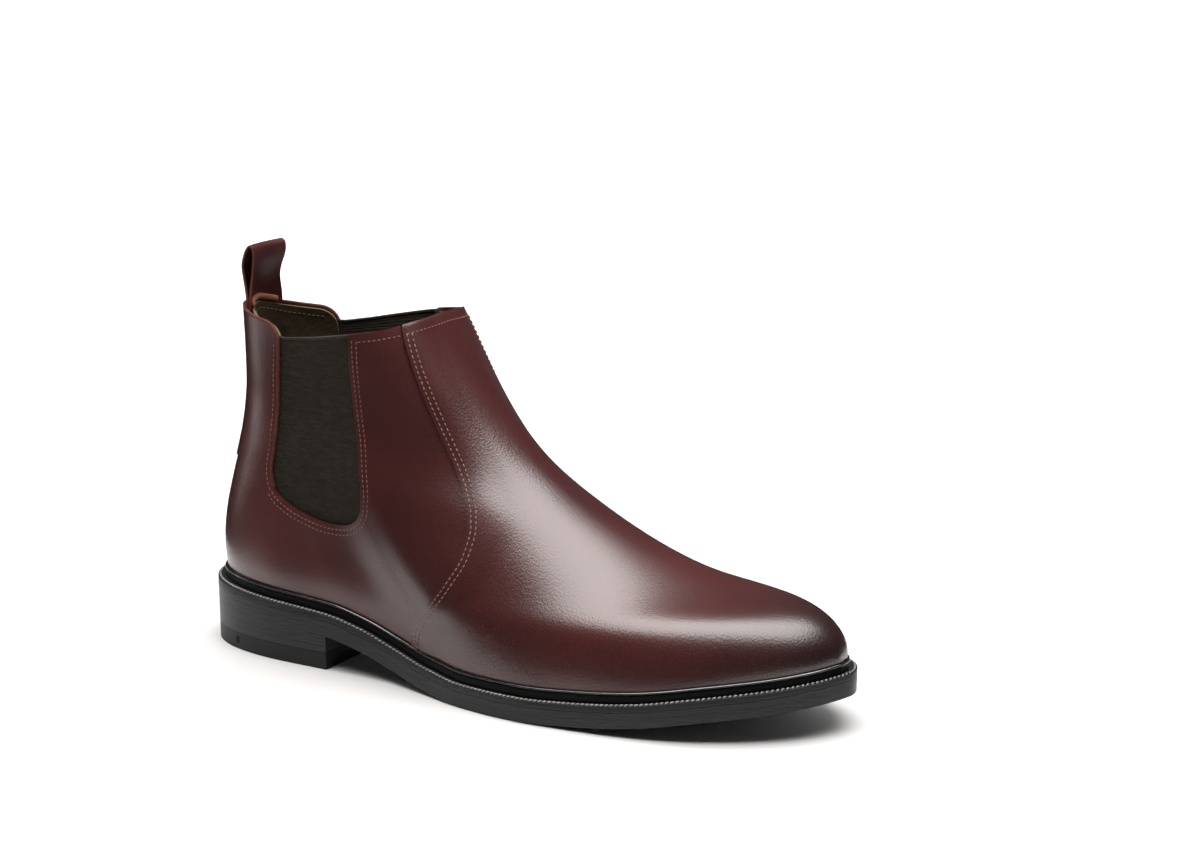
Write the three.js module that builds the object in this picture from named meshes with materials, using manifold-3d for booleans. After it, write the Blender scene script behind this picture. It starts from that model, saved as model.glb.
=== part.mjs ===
// Chelsea boot for the right foot: every piece is its own closed solid.
// Millimetres. The toe points to -Y, the outer (lateral) side to -X, +Z is up and the floor is z = 0.
import * as THREE from 'three';
import { mergeVertices } from 'three/addons/utils/BufferGeometryUtils.js';
import Module from 'manifold-3d';

const wasm = await Module();
wasm.setup();

// ---- driving sizes -------------------------------------------------------------------------
const gap = 0.3;              // clearance between neighbouring pieces
const soleLength = 305;
const soleWidth = 105;
const shaftHeight = 153.5;    // front of the topline above the floor

const upperThickness = 1.6;   // outer leather
const middleThickness = 1.4;  // elastic, stiffeners and the pull tab's anchor
const liningThickness = 1.2;
const seatGap = 0.4;           // clearance under the lower edge of the upper
const featherInset = 5.2;     // from the sole's edge in to the foot of the upper
const toplineDip = 6.8;       // how far the topline sags at the sides

const weltThickness = 2.6;
const midsoleThickness = 2.2;
const outsoleThickness = 3.9;
const weltReach = 11;         // how far the welt runs in under the insole
const liftThickness = 2.6;    // one heel lift
const liftNames = ['heel_lift_1', 'heel_lift_2'];
const topPieceThickness = 7.5;
const heelBreast = 76;        // front face of the heel
const heelTuck = 0.4;         // each heel layer steps in from the sole's edge by this much

const insoleThickness = 2.5;
const footbedMargin = 1.6;     // clearance for the walls' lean above the insole
const sockThickness = 1;
const heelPadThickness = 2;
const shankThickness = 1;
const shankLength = 104;
const shankWidth = 13;
const randWidth = 1.9;
const randHeight = 4.2;
const threadInset = 1.5;      // welt stitching, from the sole's edge
const threadWidth = 0.9;
const nailRadius = 0.9;

const goreMargin = 8;         // elastic sewn in under the leather
const tabWidth = 24;
const tabStrap = 1.4;         // strap thickness in the loop
const tabRootRadius = 1.5;
const tabPivotRise = 3.2;     // pivot above the back of the topline
const backStripWidth = 13;
const backStripThickness = 1;

const rings = 18;             // rows of the upper surface, feather line to topline
const stations = 20;          // columns from the back line to the front line, on each side
const soleSteps = 34;         // steps along the length of the slabs under the upper
const heelSteps = 20;
const padSteps = 18;

// ---- shape of the last, drawn at its nominal size and scaled to the sizes above ---------------
const drawnLength = 305;
const drawnWidth = 105;
const drawnHeight = 153.5;
const footHeight = 60;        // a taller or shorter shaft changes only what is above this
const along = (y) => y * soleLength / drawnLength;
const across = (x) => x * soleWidth / drawnWidth;
const shaftScale = (shaftHeight - footHeight) / (drawnHeight - footHeight);
const upward = (z) => Math.min(z, footHeight) + Math.max(z - footHeight, 0) * shaftScale;

// Edge of the sole, seen from above: heel tip, lateral side, toe tip, medial side.
const soleEdge = [
  [0, 152.5], [-12, 149], [-20.8, 142], [-28.3, 130], [-33.8, 110], [-36.2, 75], [-38.5, 45],
  [-44.5, 22], [-51.2, 0], [-55.2, -28], [-54.5, -50], [-51.3, -80], [-44.3, -105], [-30, -130],
  [-17.5, -143], [-8, -149], [2, -152.5], [13, -149], [21, -143], [31, -130], [43.5, -105],
  [49.5, -80], [48.5, -50], [42, -28], [33.5, 0], [30, 22], [30.5, 45], [33.2, 75], [33.5, 110],
  [28.3, 130], [20.8, 142], [12, 149],
];
// Top of the welt above the floor, from the toe's spring to the heel seat.
const weltRise = [
  [-152.5, 24.3], [-130, 21.2], [-105, 17.8], [-80, 13.6], [-55, 11], [-30, 9.6], [0, 9.3],
  [20, 11.1], [40, 15.3], [58, 20.5], [75, 24], [110, 26.2], [152.5, 28.2],
];
// Centre line of the upper, up its front and up its back (y, z). The first point of each is put
// on the welt by the code.
const frontProfile = [
  [-146.6, 0], [-148, 33], [-143.7, 40], [-137, 45.5], [-124.5, 48.3], [-105, 49.5], [-82.5, 54],
  [-58.5, 62.6], [-34, 74.8], [-11, 89.5], [6.7, 108], [22.8, 130.5], [37, 153.5],
];
const backProfile = [
  [147.2, 0], [148.6, 36], [149, 47], [147.4, 59.6], [143.8, 73.7], [140, 86.8], [137.2, 98.6],
  [135.5, 113], [135.6, 130], [136.5, 150],
];
// Half width of a ring at height share t: base - slant * cos + backFullness * cos^2 behind.
const ringBase = [[0, 36], [0.25, 34.7], [0.5, 34.7], [0.75, 30.6], [1, 31]];
const ringSlant = [[0, 0], [0.25, 0.9], [0.5, 2.2], [0.75, 8], [1, 20.4]];
const ringBackFullness = [[0, 0], [0.5, 3.4], [0.75, 9.9], [1, 18]];
const ringRoundness = [[0, 0], [0.15, 0.16], [0.35, 0.45], [0.55, 0.75], [0.8, 0.96], [1, 1]];
const featherBulge = [[0, 1], [0.1, 1.035], [0.25, 1.02], [0.6, 1], [1, 1]];
const ridgeShift = [[0, 3.5], [0.3, 5], [0.6, 4], [1, 0]];

// Panel lines in the side view (y, z).
const vampSeam = [
  [43, 150], [37.6, 134.7], [31.9, 121.6], [26, 109.6], [20.3, 99.6], [14.6, 90.5], [9.6, 82.4],
  [6.4, 75.7], [5, 69], [6, 60.5], [11, 50.4], [20, 38.2], [27.5, 28.9], [31.5, 17.8],
];
const goreWindow = [
  [104.8, 152], [106, 130], [106.5, 110], [107.6, 92], [109, 81], [106.5, 73.5], [99, 68.6],
  [87.6, 65], [76.3, 63.3], [66, 64.3], [59.4, 68.8], [57.4, 78], [59.6, 92], [62.2, 111],
  [62.6, 131], [61.5, 152],
];

// ---- curves --------------------------------------------------------------------------------
// Smooth value through (x, value) pairs, with no overshoot between them.
function smoothValue(pairs) {
  const slopes = pairs.map((pair, i) => {
    if (i === 0 || i === pairs.length - 1) return null;
    const before = (pair[1] - pairs[i - 1][1]) / (pair[0] - pairs[i - 1][0]);
    const after = (pairs[i + 1][1] - pair[1]) / (pairs[i + 1][0] - pair[0]);
    return before * after <= 0 ? 0 : 2 * before * after / (before + after);
  });
  const last = pairs.length - 1;
  slopes[0] = (pairs[1][1] - pairs[0][1]) / (pairs[1][0] - pairs[0][0]);
  slopes[last] = (pairs[last][1] - pairs[last - 1][1]) / (pairs[last][0] - pairs[last - 1][0]);
  return (x) => {
    let i = 0;
    while (i < last - 1 && x > pairs[i + 1][0]) i += 1;
    const width = pairs[i + 1][0] - pairs[i][0];
    const u = (x - pairs[i][0]) / width;
    if (u < 0) return pairs[0][1] + slopes[0] * (x - pairs[0][0]);
    if (u > 1) return pairs[last][1] + slopes[last] * (x - pairs[last][0]);
    const fromStart = (1 + 2 * u) * (1 - u) ** 2 * pairs[i][1] + u * (1 - u) ** 2 * width * slopes[i];
    const fromEnd = u * u * (3 - 2 * u) * pairs[i + 1][1] - u * u * (1 - u) * width * slopes[i + 1];
    return fromStart + fromEnd;
  };
}

const weltTop = smoothValue(weltRise.map(([y, z]) => [along(y), z]));
const ringBaseAt = smoothValue(ringBase);
const ringSlantAt = smoothValue(ringSlant);
const ringBackFullnessAt = smoothValue(ringBackFullness);
const ringRoundnessAt = smoothValue(ringRoundness);
const featherBulgeAt = smoothValue(featherBulge);
const ridgeShiftAt = smoothValue(ridgeShift);

function profileCurve(points) {
  const placed = points.map(([y, z], i) => {
    const height = i === 0 ? weltTop(along(y)) + seatGap : upward(z);
    return new THREE.Vector3(0, along(y), height);
  });
  return new THREE.CatmullRomCurve3(placed, false, 'centripetal');
}
const frontCurve = profileCurve(frontProfile);
const backCurve = profileCurve(backProfile);

const edgeCurve = new THREE.CatmullRomCurve3(
  soleEdge.map(([x, y]) => new THREE.Vector3(across(x), along(y), 0)), true, 'centripetal');

// Outline of the sole moved in by a distance, as its two sides: x as a function of y.
function soleOutline(inset) {
  const points = edgeCurve.getPoints(256).slice(0, -1);
  const moved = points.map((point, i) => {
    const before = points[(i + points.length - 1) % points.length];
    const after = points[(i + 1) % points.length];
    const direction = after.clone().sub(before).normalize();
    return new THREE.Vector2(point.x - direction.y * inset, point.y + direction.x * inset);
  });
  const byLength = (a, b) => a.y - b.y;
  const front = moved.reduce((a, b) => (b.y < a.y ? b : a));
  const back = moved.reduce((a, b) => (b.y > a.y ? b : a));
  const middle = (y) => front.x + (back.x - front.x) * (y - front.y) / (back.y - front.y);
  const lateral = moved.filter((p) => p.x <= middle(p.y)).concat(front, back).sort(byLength);
  const medial = moved.filter((p) => p.x >= middle(p.y)).concat(front, back).sort(byLength);
  const sideAt = (side) => (y) => {
    let i = 0;
    while (i < side.length - 2 && y > side[i + 1].y) i += 1;
    const span = side[i + 1].y - side[i].y;
    const share = span > 0 ? THREE.MathUtils.clamp((y - side[i].y) / span, 0, 1) : 0;
    return side[i].x + (side[i + 1].x - side[i].x) * share;
  };
  return { lateralAt: sideAt(lateral), medialAt: sideAt(medial), front: front.y, back: back.y };
}

// ---- upper surface ---------------------------------------------------------------------------
// One closed ring for each height share t; a ring runs back, lateral side, front, medial side.
const feather = soleOutline(featherInset);
const featherFront = frontCurve.getPointAt(0);
const featherBack = backCurve.getPointAt(0);

function upperPoint(t, angle, side) {
  const front = frontCurve.getPointAt(t);
  const back = backCurve.getPointAt(t);
  const share = (1 - Math.cos(angle)) / 2;
  const sine = Math.sin(angle);
  const featherY = featherBack.y + (featherFront.y - featherBack.y) * share;
  const chord = featherBack.z + (featherFront.z - featherBack.z) * share;
  const sag = weltTop(featherY) + seatGap - chord;
  const centre = ridgeShiftAt(t) * share;
  const featherX = side < 0 ? feather.lateralAt(featherY) : feather.medialAt(featherY);
  const featherHalf = Math.abs(featherX - ridgeShiftAt(0) * share);
  const cosine = Math.cos(angle);
  const fullness = ringBackFullnessAt(t) * Math.max(cosine, 0) ** 2;
  const roundHalf = across(ringBaseAt(t) - ringSlantAt(t) * cosine + fullness) * sine;
  const round = ringRoundnessAt(t);
  const atSeam = sine < 1e-6;
  const half = atSeam ? 0 : (1 - round) * featherBulgeAt(t) * featherHalf + round * roundHalf;
  const y = back.y + (front.y - back.y) * share;
  const dip = toplineDip * t ** 3 * Math.abs(sine) ** 1.3;
  const z = back.z + (front.z - back.z) * share + sag * (1 - t) ** 2.2 - dip;
  return new THREE.Vector3(centre + side * half, y, z);
}

const columns = 2 * stations;
const surface = [];
for (let row = 0; row <= rings; row += 1) {
  const ring = [];
  for (let column = 0; column < columns; column += 1) {
    const lateral = column <= stations;
    const step = lateral ? column : columns - column;
    ring.push(upperPoint(row / rings, Math.PI * step / stations, lateral ? -1 : 1));
  }
  surface.push(ring);
}
const surfaceNormals = surface.map((ring, row) => ring.map((point, column) => {
  const round = ring[(column + 1) % columns].clone().sub(ring[(column + columns - 1) % columns]);
  const above = surface[Math.min(row + 1, rings)][column];
  const below = surface[Math.max(row - 1, 0)][column];
  return round.cross(above.clone().sub(below)).normalize();
}));

// Rings of the upper moved in by a depth (out, if it is negative).
function ringsAtDepth(depth) {
  return surface.map((ring, row) => ring.map(
    (point, column) => point.clone().addScaledVector(surfaceNormals[row][column], -depth)));
}

// ---- solids ----------------------------------------------------------------------------------
// Closed skin from rows of points; the first row follows the last, and each row closes on itself.
function wrappedSolid(rows) {
  const width = rows[0].length;
  const positions = rows.flat().flatMap((point) => [point.x, point.y, point.z]);
  const triangles = [];
  rows.forEach((row, i) => {
    const next = (i + 1) % rows.length;
    for (let k = 0; k < width; k += 1) {
      const right = (k + 1) % width;
      const [a, b, c, d] = [i * width + k, i * width + right, next * width + right, next * width + k];
      triangles.push(a, b, c, a, c, d);
    }
  });
  return solidFrom(positions, triangles);
}

// Closed skin from a stack of loops. A loop's point k faces its point (length - 1 - k).
function stackedSolid(loops) {
  const width = loops[0].length;
  const positions = loops.flat().flatMap((point) => [point.x, point.y, point.z]);
  const triangles = [];
  for (let i = 0; i < loops.length - 1; i += 1) {
    for (let k = 0; k < width; k += 1) {
      const right = (k + 1) % width;
      const [a, b] = [i * width + k, i * width + right];
      const [c, d] = [b + width, a + width];
      triangles.push(a, b, c, a, c, d);
    }
  }
  const top = (loops.length - 1) * width;
  for (let k = 0; k < width / 2 - 1; k += 1) {
    const [a, b, c, d] = [k, k + 1, width - 2 - k, width - 1 - k];
    triangles.push(a, c, b, a, d, c);
    triangles.push(top + a, top + b, top + c, top + a, top + c, top + d);
  }
  return solidFrom(positions, triangles);
}

function solidFrom(positions, triangles) {
  const geometry = new THREE.BufferGeometry();
  geometry.setAttribute('position', new THREE.Float32BufferAttribute(positions, 3));
  geometry.setIndex(triangles);
  return solidOf(geometry);
}

function solidOf(geometry) {
  const plain = geometry.clone();
  plain.deleteAttribute('normal');
  plain.deleteAttribute('uv');
  const merged = mergeVertices(plain, 1e-4);
  const index = merged.index.array;
  const kept = [];
  for (let i = 0; i < index.length; i += 3) {
    const [a, b, c] = [index[i], index[i + 1], index[i + 2]];
    if (a !== b && b !== c && c !== a) kept.push(a, b, c);
  }
  return new wasm.Manifold(new wasm.Mesh({
    numProp: 3,
    vertProperties: new Float32Array(merged.attributes.position.array),
    triVerts: new Uint32Array(kept),
  }));
}

// Shell between two depths under the upper surface.
function shell(outerDepth, thickness) {
  const outer = ringsAtDepth(outerDepth);
  const inner = ringsAtDepth(outerDepth + thickness);
  return wrappedSolid([...outer, ...inner.reverse()]);
}

// Prism over an outline drawn in the side view, from one x to another.
function sidePrism(outline, fromX = -soleWidth, toX = soleWidth) {
  const shape = new THREE.Shape(outline.map(([y, z]) => new THREE.Vector2(y, z)));
  const geometry = new THREE.ExtrudeGeometry(shape, { depth: toX - fromX, bevelEnabled: false });
  const basis = new THREE.Matrix4().makeBasis(
    new THREE.Vector3(0, 1, 0), new THREE.Vector3(0, 0, 1), new THREE.Vector3(1, 0, 0));
  geometry.applyMatrix4(basis);
  geometry.translate(fromX, 0, 0);
  return solidOf(geometry);
}

// Slab under an outline of the sole whose top and bottom heights change along the length.
function slab(outline, bottomAt, topAt, fromY = -Infinity, toY = Infinity, count = soleSteps) {
  const start = Math.max(fromY, outline.front);
  const end = Math.min(toY, outline.back);
  const loops = [];
  for (let i = 0; i <= count; i += 1) {
    const y = start + (end - start) * (1 - Math.cos(Math.PI * i / count)) / 2;
    const [left, right] = [outline.lateralAt(y), outline.medialAt(y)];
    const [low, high] = [bottomAt(y), topAt(y)];
    loops.push([
      new THREE.Vector3(left, y, low), new THREE.Vector3(left, y, high),
      new THREE.Vector3(right, y, high), new THREE.Vector3(right, y, low),
    ]);
  }
  return stackedSolid(loops);
}

function pin(radius, x, y, fromZ, toZ, sides = 12) {
  const geometry = new THREE.CylinderGeometry(radius, radius, toZ - fromZ, sides);
  geometry.rotateX(Math.PI / 2);
  geometry.translate(x, y, (fromZ + toZ) / 2);
  return solidOf(geometry);
}

// Outline moved outwards by a distance (its points run anticlockwise in the side view).
function grown(outline, distance) {
  const centre = outline.reduce(([a, b], [y, z]) => [a + y / outline.length, b + z / outline.length],
    [0, 0]);
  return outline.map(([y, z], i) => {
    const [y0, z0] = outline[(i + outline.length - 1) % outline.length];
    const [y1, z1] = outline[(i + 1) % outline.length];
    const length = Math.hypot(y1 - y0, z1 - z0);
    const normal = [(z1 - z0) / length, (y0 - y1) / length];
    const outward = normal[0] * (y - centre[0]) + normal[1] * (z - centre[1]) > 0 ? 1 : -1;
    return [y + normal[0] * distance * outward, z + normal[1] * distance * outward];
  });
}

// ---- the model ---------------------------------------------------------------------------------
const boot = new THREE.Group();

const finishes = {
  burgundyLeather: { color: 0x45151a, roughness: 0.28, metalness: 0 },
  elastic: { color: 0x23221c, roughness: 0.85, metalness: 0 },
  oliveLining: { color: 0x5d5138, roughness: 0.7, metalness: 0 },
  stiffener: { color: 0xb9ab92, roughness: 0.8, metalness: 0 },
  blackRand: { color: 0x0c0c0d, roughness: 0.22, metalness: 0 },
  charcoalSole: { color: 0x232326, roughness: 0.6, metalness: 0 },
  insoleBoard: { color: 0xa98a63, roughness: 0.8, metalness: 0 },
  cork: { color: 0x8a6844, roughness: 0.9, metalness: 0 },
  steel: { color: 0x9a9da1, roughness: 0.35, metalness: 1 },
  thread: { color: 0x8a8580, roughness: 0.7, metalness: 0 },
};

function addPiece(name, solid, finish) {
  const mesh = solid.getMesh();
  const geometry = new THREE.BufferGeometry();
  geometry.setAttribute('position', new THREE.BufferAttribute(mesh.vertProperties, 3));
  geometry.setIndex(new THREE.BufferAttribute(mesh.triVerts, 1));
  const piece = new THREE.Mesh(geometry, new THREE.MeshStandardMaterial(finishes[finish]));
  piece.name = name;
  boot.add(piece);
}

const middleDepth = upperThickness + gap;
const liningDepth = middleDepth + middleThickness + gap;
const liningInside = liningDepth + liningThickness;
const leatherShell = shell(0, upperThickness);
const middleShell = shell(middleDepth, middleThickness);
const liningShell = shell(liningDepth, liningThickness);

const farUp = upward(drawnHeight) + 60;
const farDown = -20;
const placed = (outline) => outline.map(([y, z]) => [along(y), upward(z)]);
const halves = { lateral: [-soleWidth, -gap / 2], medial: [gap / 2, soleWidth] };

const seamLine = placed(vampSeam);
const windowLine = placed(goreWindow);
const seamRunOut = 16;        // the seam's slope, carried on above the topline
const seamTop = [seamLine[0][0] + seamRunOut, farUp];
const seamFoot = [seamLine[seamLine.length - 1][0] + 1.5, farDown];
const toeEnd = -soleLength;

function frontOfSeam(shift) {
  const line = [seamTop, ...seamLine, seamFoot].map(([y, z]) => [y + shift, z]);
  return [...line, [toeEnd, farDown], [toeEnd, farUp]];
}

// Window of the elastic grown by a margin, still open at the top.
function windowOutline(margin) {
  const line = grown(windowLine, margin);
  line[0] = [windowLine[0][0] + margin, farUp];
  line[line.length - 1] = [windowLine[windowLine.length - 1][0] - margin, farUp];
  return line;
}

function addUpperLeather() {
  addPiece('vamp', leatherShell.intersect(sidePrism(frontOfSeam(0))), 'burgundyLeather');
  const behindSeam = leatherShell.subtract(sidePrism(frontOfSeam(gap * 1.4)))
    .subtract(sidePrism(windowOutline(0)));
  for (const [side, range] of Object.entries(halves)) {
    const box = [
      [toeEnd, farDown], [soleLength, farDown], [soleLength, farUp], [toeEnd, farUp],
    ];
    addPiece(`quarter_${side}`, behindSeam.intersect(sidePrism(box, ...range)), 'burgundyLeather');
  }
}

function addElastic() {
  for (const [side, range] of Object.entries(halves)) {
    const elastic = middleShell.intersect(sidePrism(windowOutline(goreMargin), ...range));
    addPiece(`gore_${side}`, elastic, 'elastic');
  }
}

function addStiffeners() {
  const puffBack = along(-100);
  const puff = [
    [toeEnd, farDown], [puffBack, farDown], [puffBack - 4, farUp], [toeEnd, farUp],
  ];
  addPiece('toe_puff', middleShell.intersect(sidePrism(puff)), 'stiffener');
  const counter = placed([
    [84, farDown], [86, 38], [94, 49], [112, 57], [119, 66], [121, 86], [200, 86], [200, farDown],
  ]);
  addPiece('heel_counter', middleShell.intersect(sidePrism(counter)), 'stiffener');
  const tapeRear = goreWindow[15][0] - goreMargin - 2;
  const tape = placed([[-40, 141], [tapeRear, 139], [tapeRear, 200], [-40, 200]]);
  addPiece('topline_tape', middleShell.intersect(sidePrism(tape)), 'stiffener');
}

function addLinings() {
  const joint = along(82);
  const open = liningShell.subtract(sidePrism(windowOutline(0)));
  const inFront = [
    [toeEnd, farDown], [joint, farDown], [joint, farUp], [toeEnd, farUp],
  ];
  const behind = inFront.map(([y, z]) => [y < joint ? joint + gap : soleLength, z]);
  addPiece('vamp_lining', open.intersect(sidePrism(inFront)), 'oliveLining');
  addPiece('back_lining', open.intersect(sidePrism(behind.reverse())), 'oliveLining');
}

// Loop of points across the back of the boot between two depths, for one row of the surface.
function backLoop(row, outerDepth, innerDepth, halfWidth, steps = 14) {
  const line = (depth) => {
    const ring = ringsAtDepth(depth)[row];
    const crossing = [];
    for (let k = -stations / 2; k <= stations / 2; k += 1) {
      crossing.push(ring[(k + columns) % columns]);
    }
    crossing.sort((a, b) => a.x - b.x);
    return Array.from({ length: steps + 1 }, (unused, i) => {
      const x = -halfWidth + 2 * halfWidth * i / steps;
      let k = 0;
      while (k < crossing.length - 2 && x > crossing[k + 1].x) k += 1;
      const share = (x - crossing[k].x) / (crossing[k + 1].x - crossing[k].x);
      return crossing[k].clone().lerp(crossing[k + 1], share);
    });
  };
  return [...line(innerDepth), ...line(outerDepth).reverse()];
}

function addBackStrip() {
  const firstRow = Math.round(rings * 0.46);
  const loops = [];
  for (let row = firstRow; row <= rings; row += 1) {
    loops.push(backLoop(row, -gap - backStripThickness, -gap, backStripWidth / 2));
  }
  addPiece('back_strip', stackedSolid(loops), 'burgundyLeather');
}

// The loop turns about a line along X just above the topline; its anchor is sewn in below.
const backTop = surface[rings][0];
const tabPivot = {
  y: backTop.y - middleDepth - middleThickness - 1.4,
  z: backTop.z + tabPivotRise,
};

function addPullTab() {
  const loops = [];
  const firstRow = Math.round(rings * 0.8);
  for (let row = firstRow; row <= rings; row += 1) {
    loops.push(backLoop(row, middleDepth, middleDepth + middleThickness, tabWidth / 2));
  }
  const topLoop = loops[loops.length - 1];
  const seatHeight = tabPivot.z - tabRootRadius - gap;
  for (const share of [0.5, 1]) {
    loops.push(topLoop.map((point, i) => {
      const inner = i < topLoop.length / 2;
      const straight = new THREE.Vector3(
        point.x, tabPivot.y + (inner ? -0.5 : 0.5) * middleThickness, seatHeight);
      return point.clone().lerp(straight, share);
    }));
  }
  addPiece('pull_tab_anchor', stackedSolid(loops), 'burgundyLeather');

  const rear = [[2.3, 4], [2.9, 8], [2.4, 12.5], [0.2, 17.6]];
  const front = [[-5.6, 20], [-5.3, 15.8], [-3, 10.8], [-1.5, 5.5]];
  const outer = new THREE.Shape();
  outer.moveTo(tabRootRadius, 0);
  outer.splineThru([...rear, [-3, 22.6], ...front, [-tabRootRadius, 0]].map(([y, z]) => (
    new THREE.Vector2(y, z))));
  outer.absarc(0, 0, tabRootRadius, Math.PI, 2 * Math.PI, false);
  const hole = new THREE.Path();
  const inside = [[0.8, 7], [1.3, 9.5], [0.8, 13], [-1.2, 17], [-3, 19.9], [-4, 19.4], [-3.8, 16]];
  hole.moveTo(0.8 - tabStrap / 2, 6.4);
  hole.splineThru([...inside, [-1.6, 11.5], [-0.2, 7.6], [0.8 - tabStrap / 2, 6.4]].map(([y, z]) => (
    new THREE.Vector2(y, z))));
  outer.holes.push(hole);
  const geometry = new THREE.ExtrudeGeometry(
    outer, { depth: tabWidth, bevelEnabled: false, curveSegments: 4 });
  geometry.applyMatrix4(new THREE.Matrix4().makeBasis(
    new THREE.Vector3(0, 1, 0), new THREE.Vector3(0, 0, 1), new THREE.Vector3(1, 0, 0)));
  geometry.translate(-tabWidth / 2, tabPivot.y, tabPivot.z);
  addPiece('pull_tab', solidOf(geometry), 'burgundyLeather');
}

// ---- bottom of the boot --------------------------------------------------------------------------
const weltBottom = (y) => weltTop(y) - weltThickness;
const midsoleTop = (y) => weltBottom(y) - gap;
const midsoleBottom = (y) => midsoleTop(y) - midsoleThickness;
const outsoleTop = (y) => midsoleBottom(y) - gap;
const outsoleBottom = (y) => outsoleTop(y) - outsoleThickness;
const insoleTop = (y) => weltTop(y) + gap + insoleThickness;
const sockTop = (y) => insoleTop(y) + gap + sockThickness;

const nailPlaces = [[-20, 92], [-22, 116], [0, 136], [22, 116], [20, 92]]
  .map(([x, y]) => [across(x), along(y)]);

function withNailHoles(solid, fromZ, toZ) {
  return nailPlaces.reduce(
    (cut, [x, y]) => cut.subtract(pin(nailRadius + gap, x, y, fromZ, toZ)), solid);
}

// Ring with a box section, following an outline of the sole.
function edgeRing(innerOutline, outerOutline, bottomAt, topAt) {
  const ring = slab(outerOutline, bottomAt, topAt);
  return ring.subtract(slab(innerOutline, (y) => bottomAt(y) - 1, (y) => topAt(y) + 1));
}

function addWelt() {
  const edge = soleOutline(0);
  const inside = soleOutline(featherInset + weltReach);
  const channelDepth = 0.5;
  const channel = edgeRing(
    soleOutline(threadInset + threadWidth / 2 + gap), soleOutline(threadInset - threadWidth / 2 - gap),
    (y) => weltTop(y) - channelDepth, (y) => weltTop(y) + 1);
  const welt = edgeRing(inside, edge, weltBottom, weltTop).subtract(channel);
  addPiece('welt', welt, 'charcoalSole');
  const threadBottom = (y) => weltTop(y) - channelDepth + gap;
  const thread = edgeRing(
    soleOutline(threadInset + threadWidth / 2), soleOutline(threadInset - threadWidth / 2),
    threadBottom, (y) => threadBottom(y) + threadWidth * 0.7);
  addPiece('welt_thread', thread, 'thread');
  const filler = slab(soleOutline(featherInset + weltReach + 2 * gap), weltBottom, weltTop);
  const shankStart = along(-8);
  const shankOutline = (extra) => ({
    lateralAt: (y) => -shankWidth / 2 - extra - 3,
    medialAt: (y) => shankWidth / 2 + extra - 3,
    front: shankStart - extra,
    back: shankStart + shankLength + extra,
  });
  const shankTop = (y) => weltTop(y) - 0.4;
  const shankBottom = (y) => shankTop(y) - shankThickness;
  const bed = slab(shankOutline(gap), (y) => shankBottom(y) - gap, (y) => weltTop(y) + 1);
  addPiece('cork_filler', filler.subtract(bed), 'cork');
  addPiece('shank', slab(shankOutline(0), shankBottom, shankTop), 'steel');
}

function addRand() {
  const innerRings = ringsAtDepth(-gap);
  const outerRings = ringsAtDepth(-gap - randWidth);
  const wall = (source, height) => source[0].map((point, column) => {
    const above = source[1][column];
    const share = height / (above.z - point.z);
    return point.clone().lerp(above, share);
  });
  const rows = [
    wall(outerRings, 0), wall(outerRings, randHeight * 0.55), wall(innerRings, randHeight),
    wall(innerRings, 0),
  ];
  for (const row of rows) {
    for (const point of row) point.z = Math.max(point.z, weltTop(point.y) + gap);
  }
  addPiece('rand', wrappedSolid(rows), 'blackRand');
}

function addFootbed() {
  const bedOutline = soleOutline(featherInset + liningInside + footbedMargin);
  const leaningWall = shell(liningDepth, liningThickness + 2 * gap);
  const insole = slab(bedOutline, (y) => weltTop(y) + gap, insoleTop).subtract(leaningWall);
  addPiece('insole', insole, 'insoleBoard');
  const sock = slab(bedOutline, (y) => insoleTop(y) + gap, sockTop).subtract(leaningWall);
  addPiece('sock_liner', sock, 'oliveLining');
  const padOutline = soleOutline(featherInset + liningInside + footbedMargin + 2);
  const pad = slab(padOutline, (y) => sockTop(y) + gap, (y) => sockTop(y) + gap + heelPadThickness,
    along(66), Infinity, padSteps);
  addPiece('heel_pad', pad, 'oliveLining');
}

function addSole() {
  const edge = soleOutline(0);
  addPiece('midsole', slab(edge, midsoleBottom, midsoleTop), 'charcoalSole');
  const outsole = slab(soleOutline(0.2), outsoleBottom, outsoleTop);
  addPiece('outsole', withNailHoles(outsole, -1, 60), 'charcoalSole');
}

function addHeel() {
  const layer = (step, bottomAt, topAt) => slab(
    soleOutline(heelTuck * step), bottomAt, topAt, heelBreastAt, Infinity, heelSteps);
  const heelBreastAt = along(heelBreast);
  const level = (z) => () => z;
  const topPiece = layer(1.5, level(0), level(topPieceThickness));
  const nailTip = topPieceThickness - 3.5;
  addPiece('heel_top_piece', withNailHoles(topPiece, nailTip - gap, topPieceThickness + 1),
    'charcoalSole');
  let bottom = topPieceThickness + gap;
  for (const name of liftNames) {
    const lift = layer(1.2, level(bottom), level(bottom + liftThickness));
    addPiece(name, withNailHoles(lift, bottom - 1, bottom + liftThickness + 1), 'charcoalSole');
    bottom += liftThickness + gap;
  }
  const wedge = layer(0.8, level(bottom), (y) => outsoleBottom(y) - gap);
  addPiece('heel_wedge', withNailHoles(wedge, 0, 60), 'charcoalSole');
  nailPlaces.forEach(([x, y], i) => {
    const shaft = pin(nailRadius, x, y, nailTip, outsoleTop(y) - 0.8);
    addPiece(`heel_nail_${i + 1}`, shaft, 'steel');
  });
}

addUpperLeather();
addElastic();
addStiffeners();
addLinings();
addBackStrip();
addPullTab();
addWelt();
addRand();
addFootbed();
addSole();
addHeel();

// The origin is under the middle of the boot's box.
const edgeSides = edgeCurve.getPoints(256).map((point) => point.x);
boot.position.x = -(Math.min(...edgeSides) + Math.max(...edgeSides)) / 2;

export default boot;
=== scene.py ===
# Looks for a chelsea boot: leather panels, elastic, linings, stitching, welted sole and studio.
# Shapes are drawn in millimetres and stored in metres.
import math

import bmesh
import bpy
import numpy as np
from mathutils import Matrix, Vector


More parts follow.
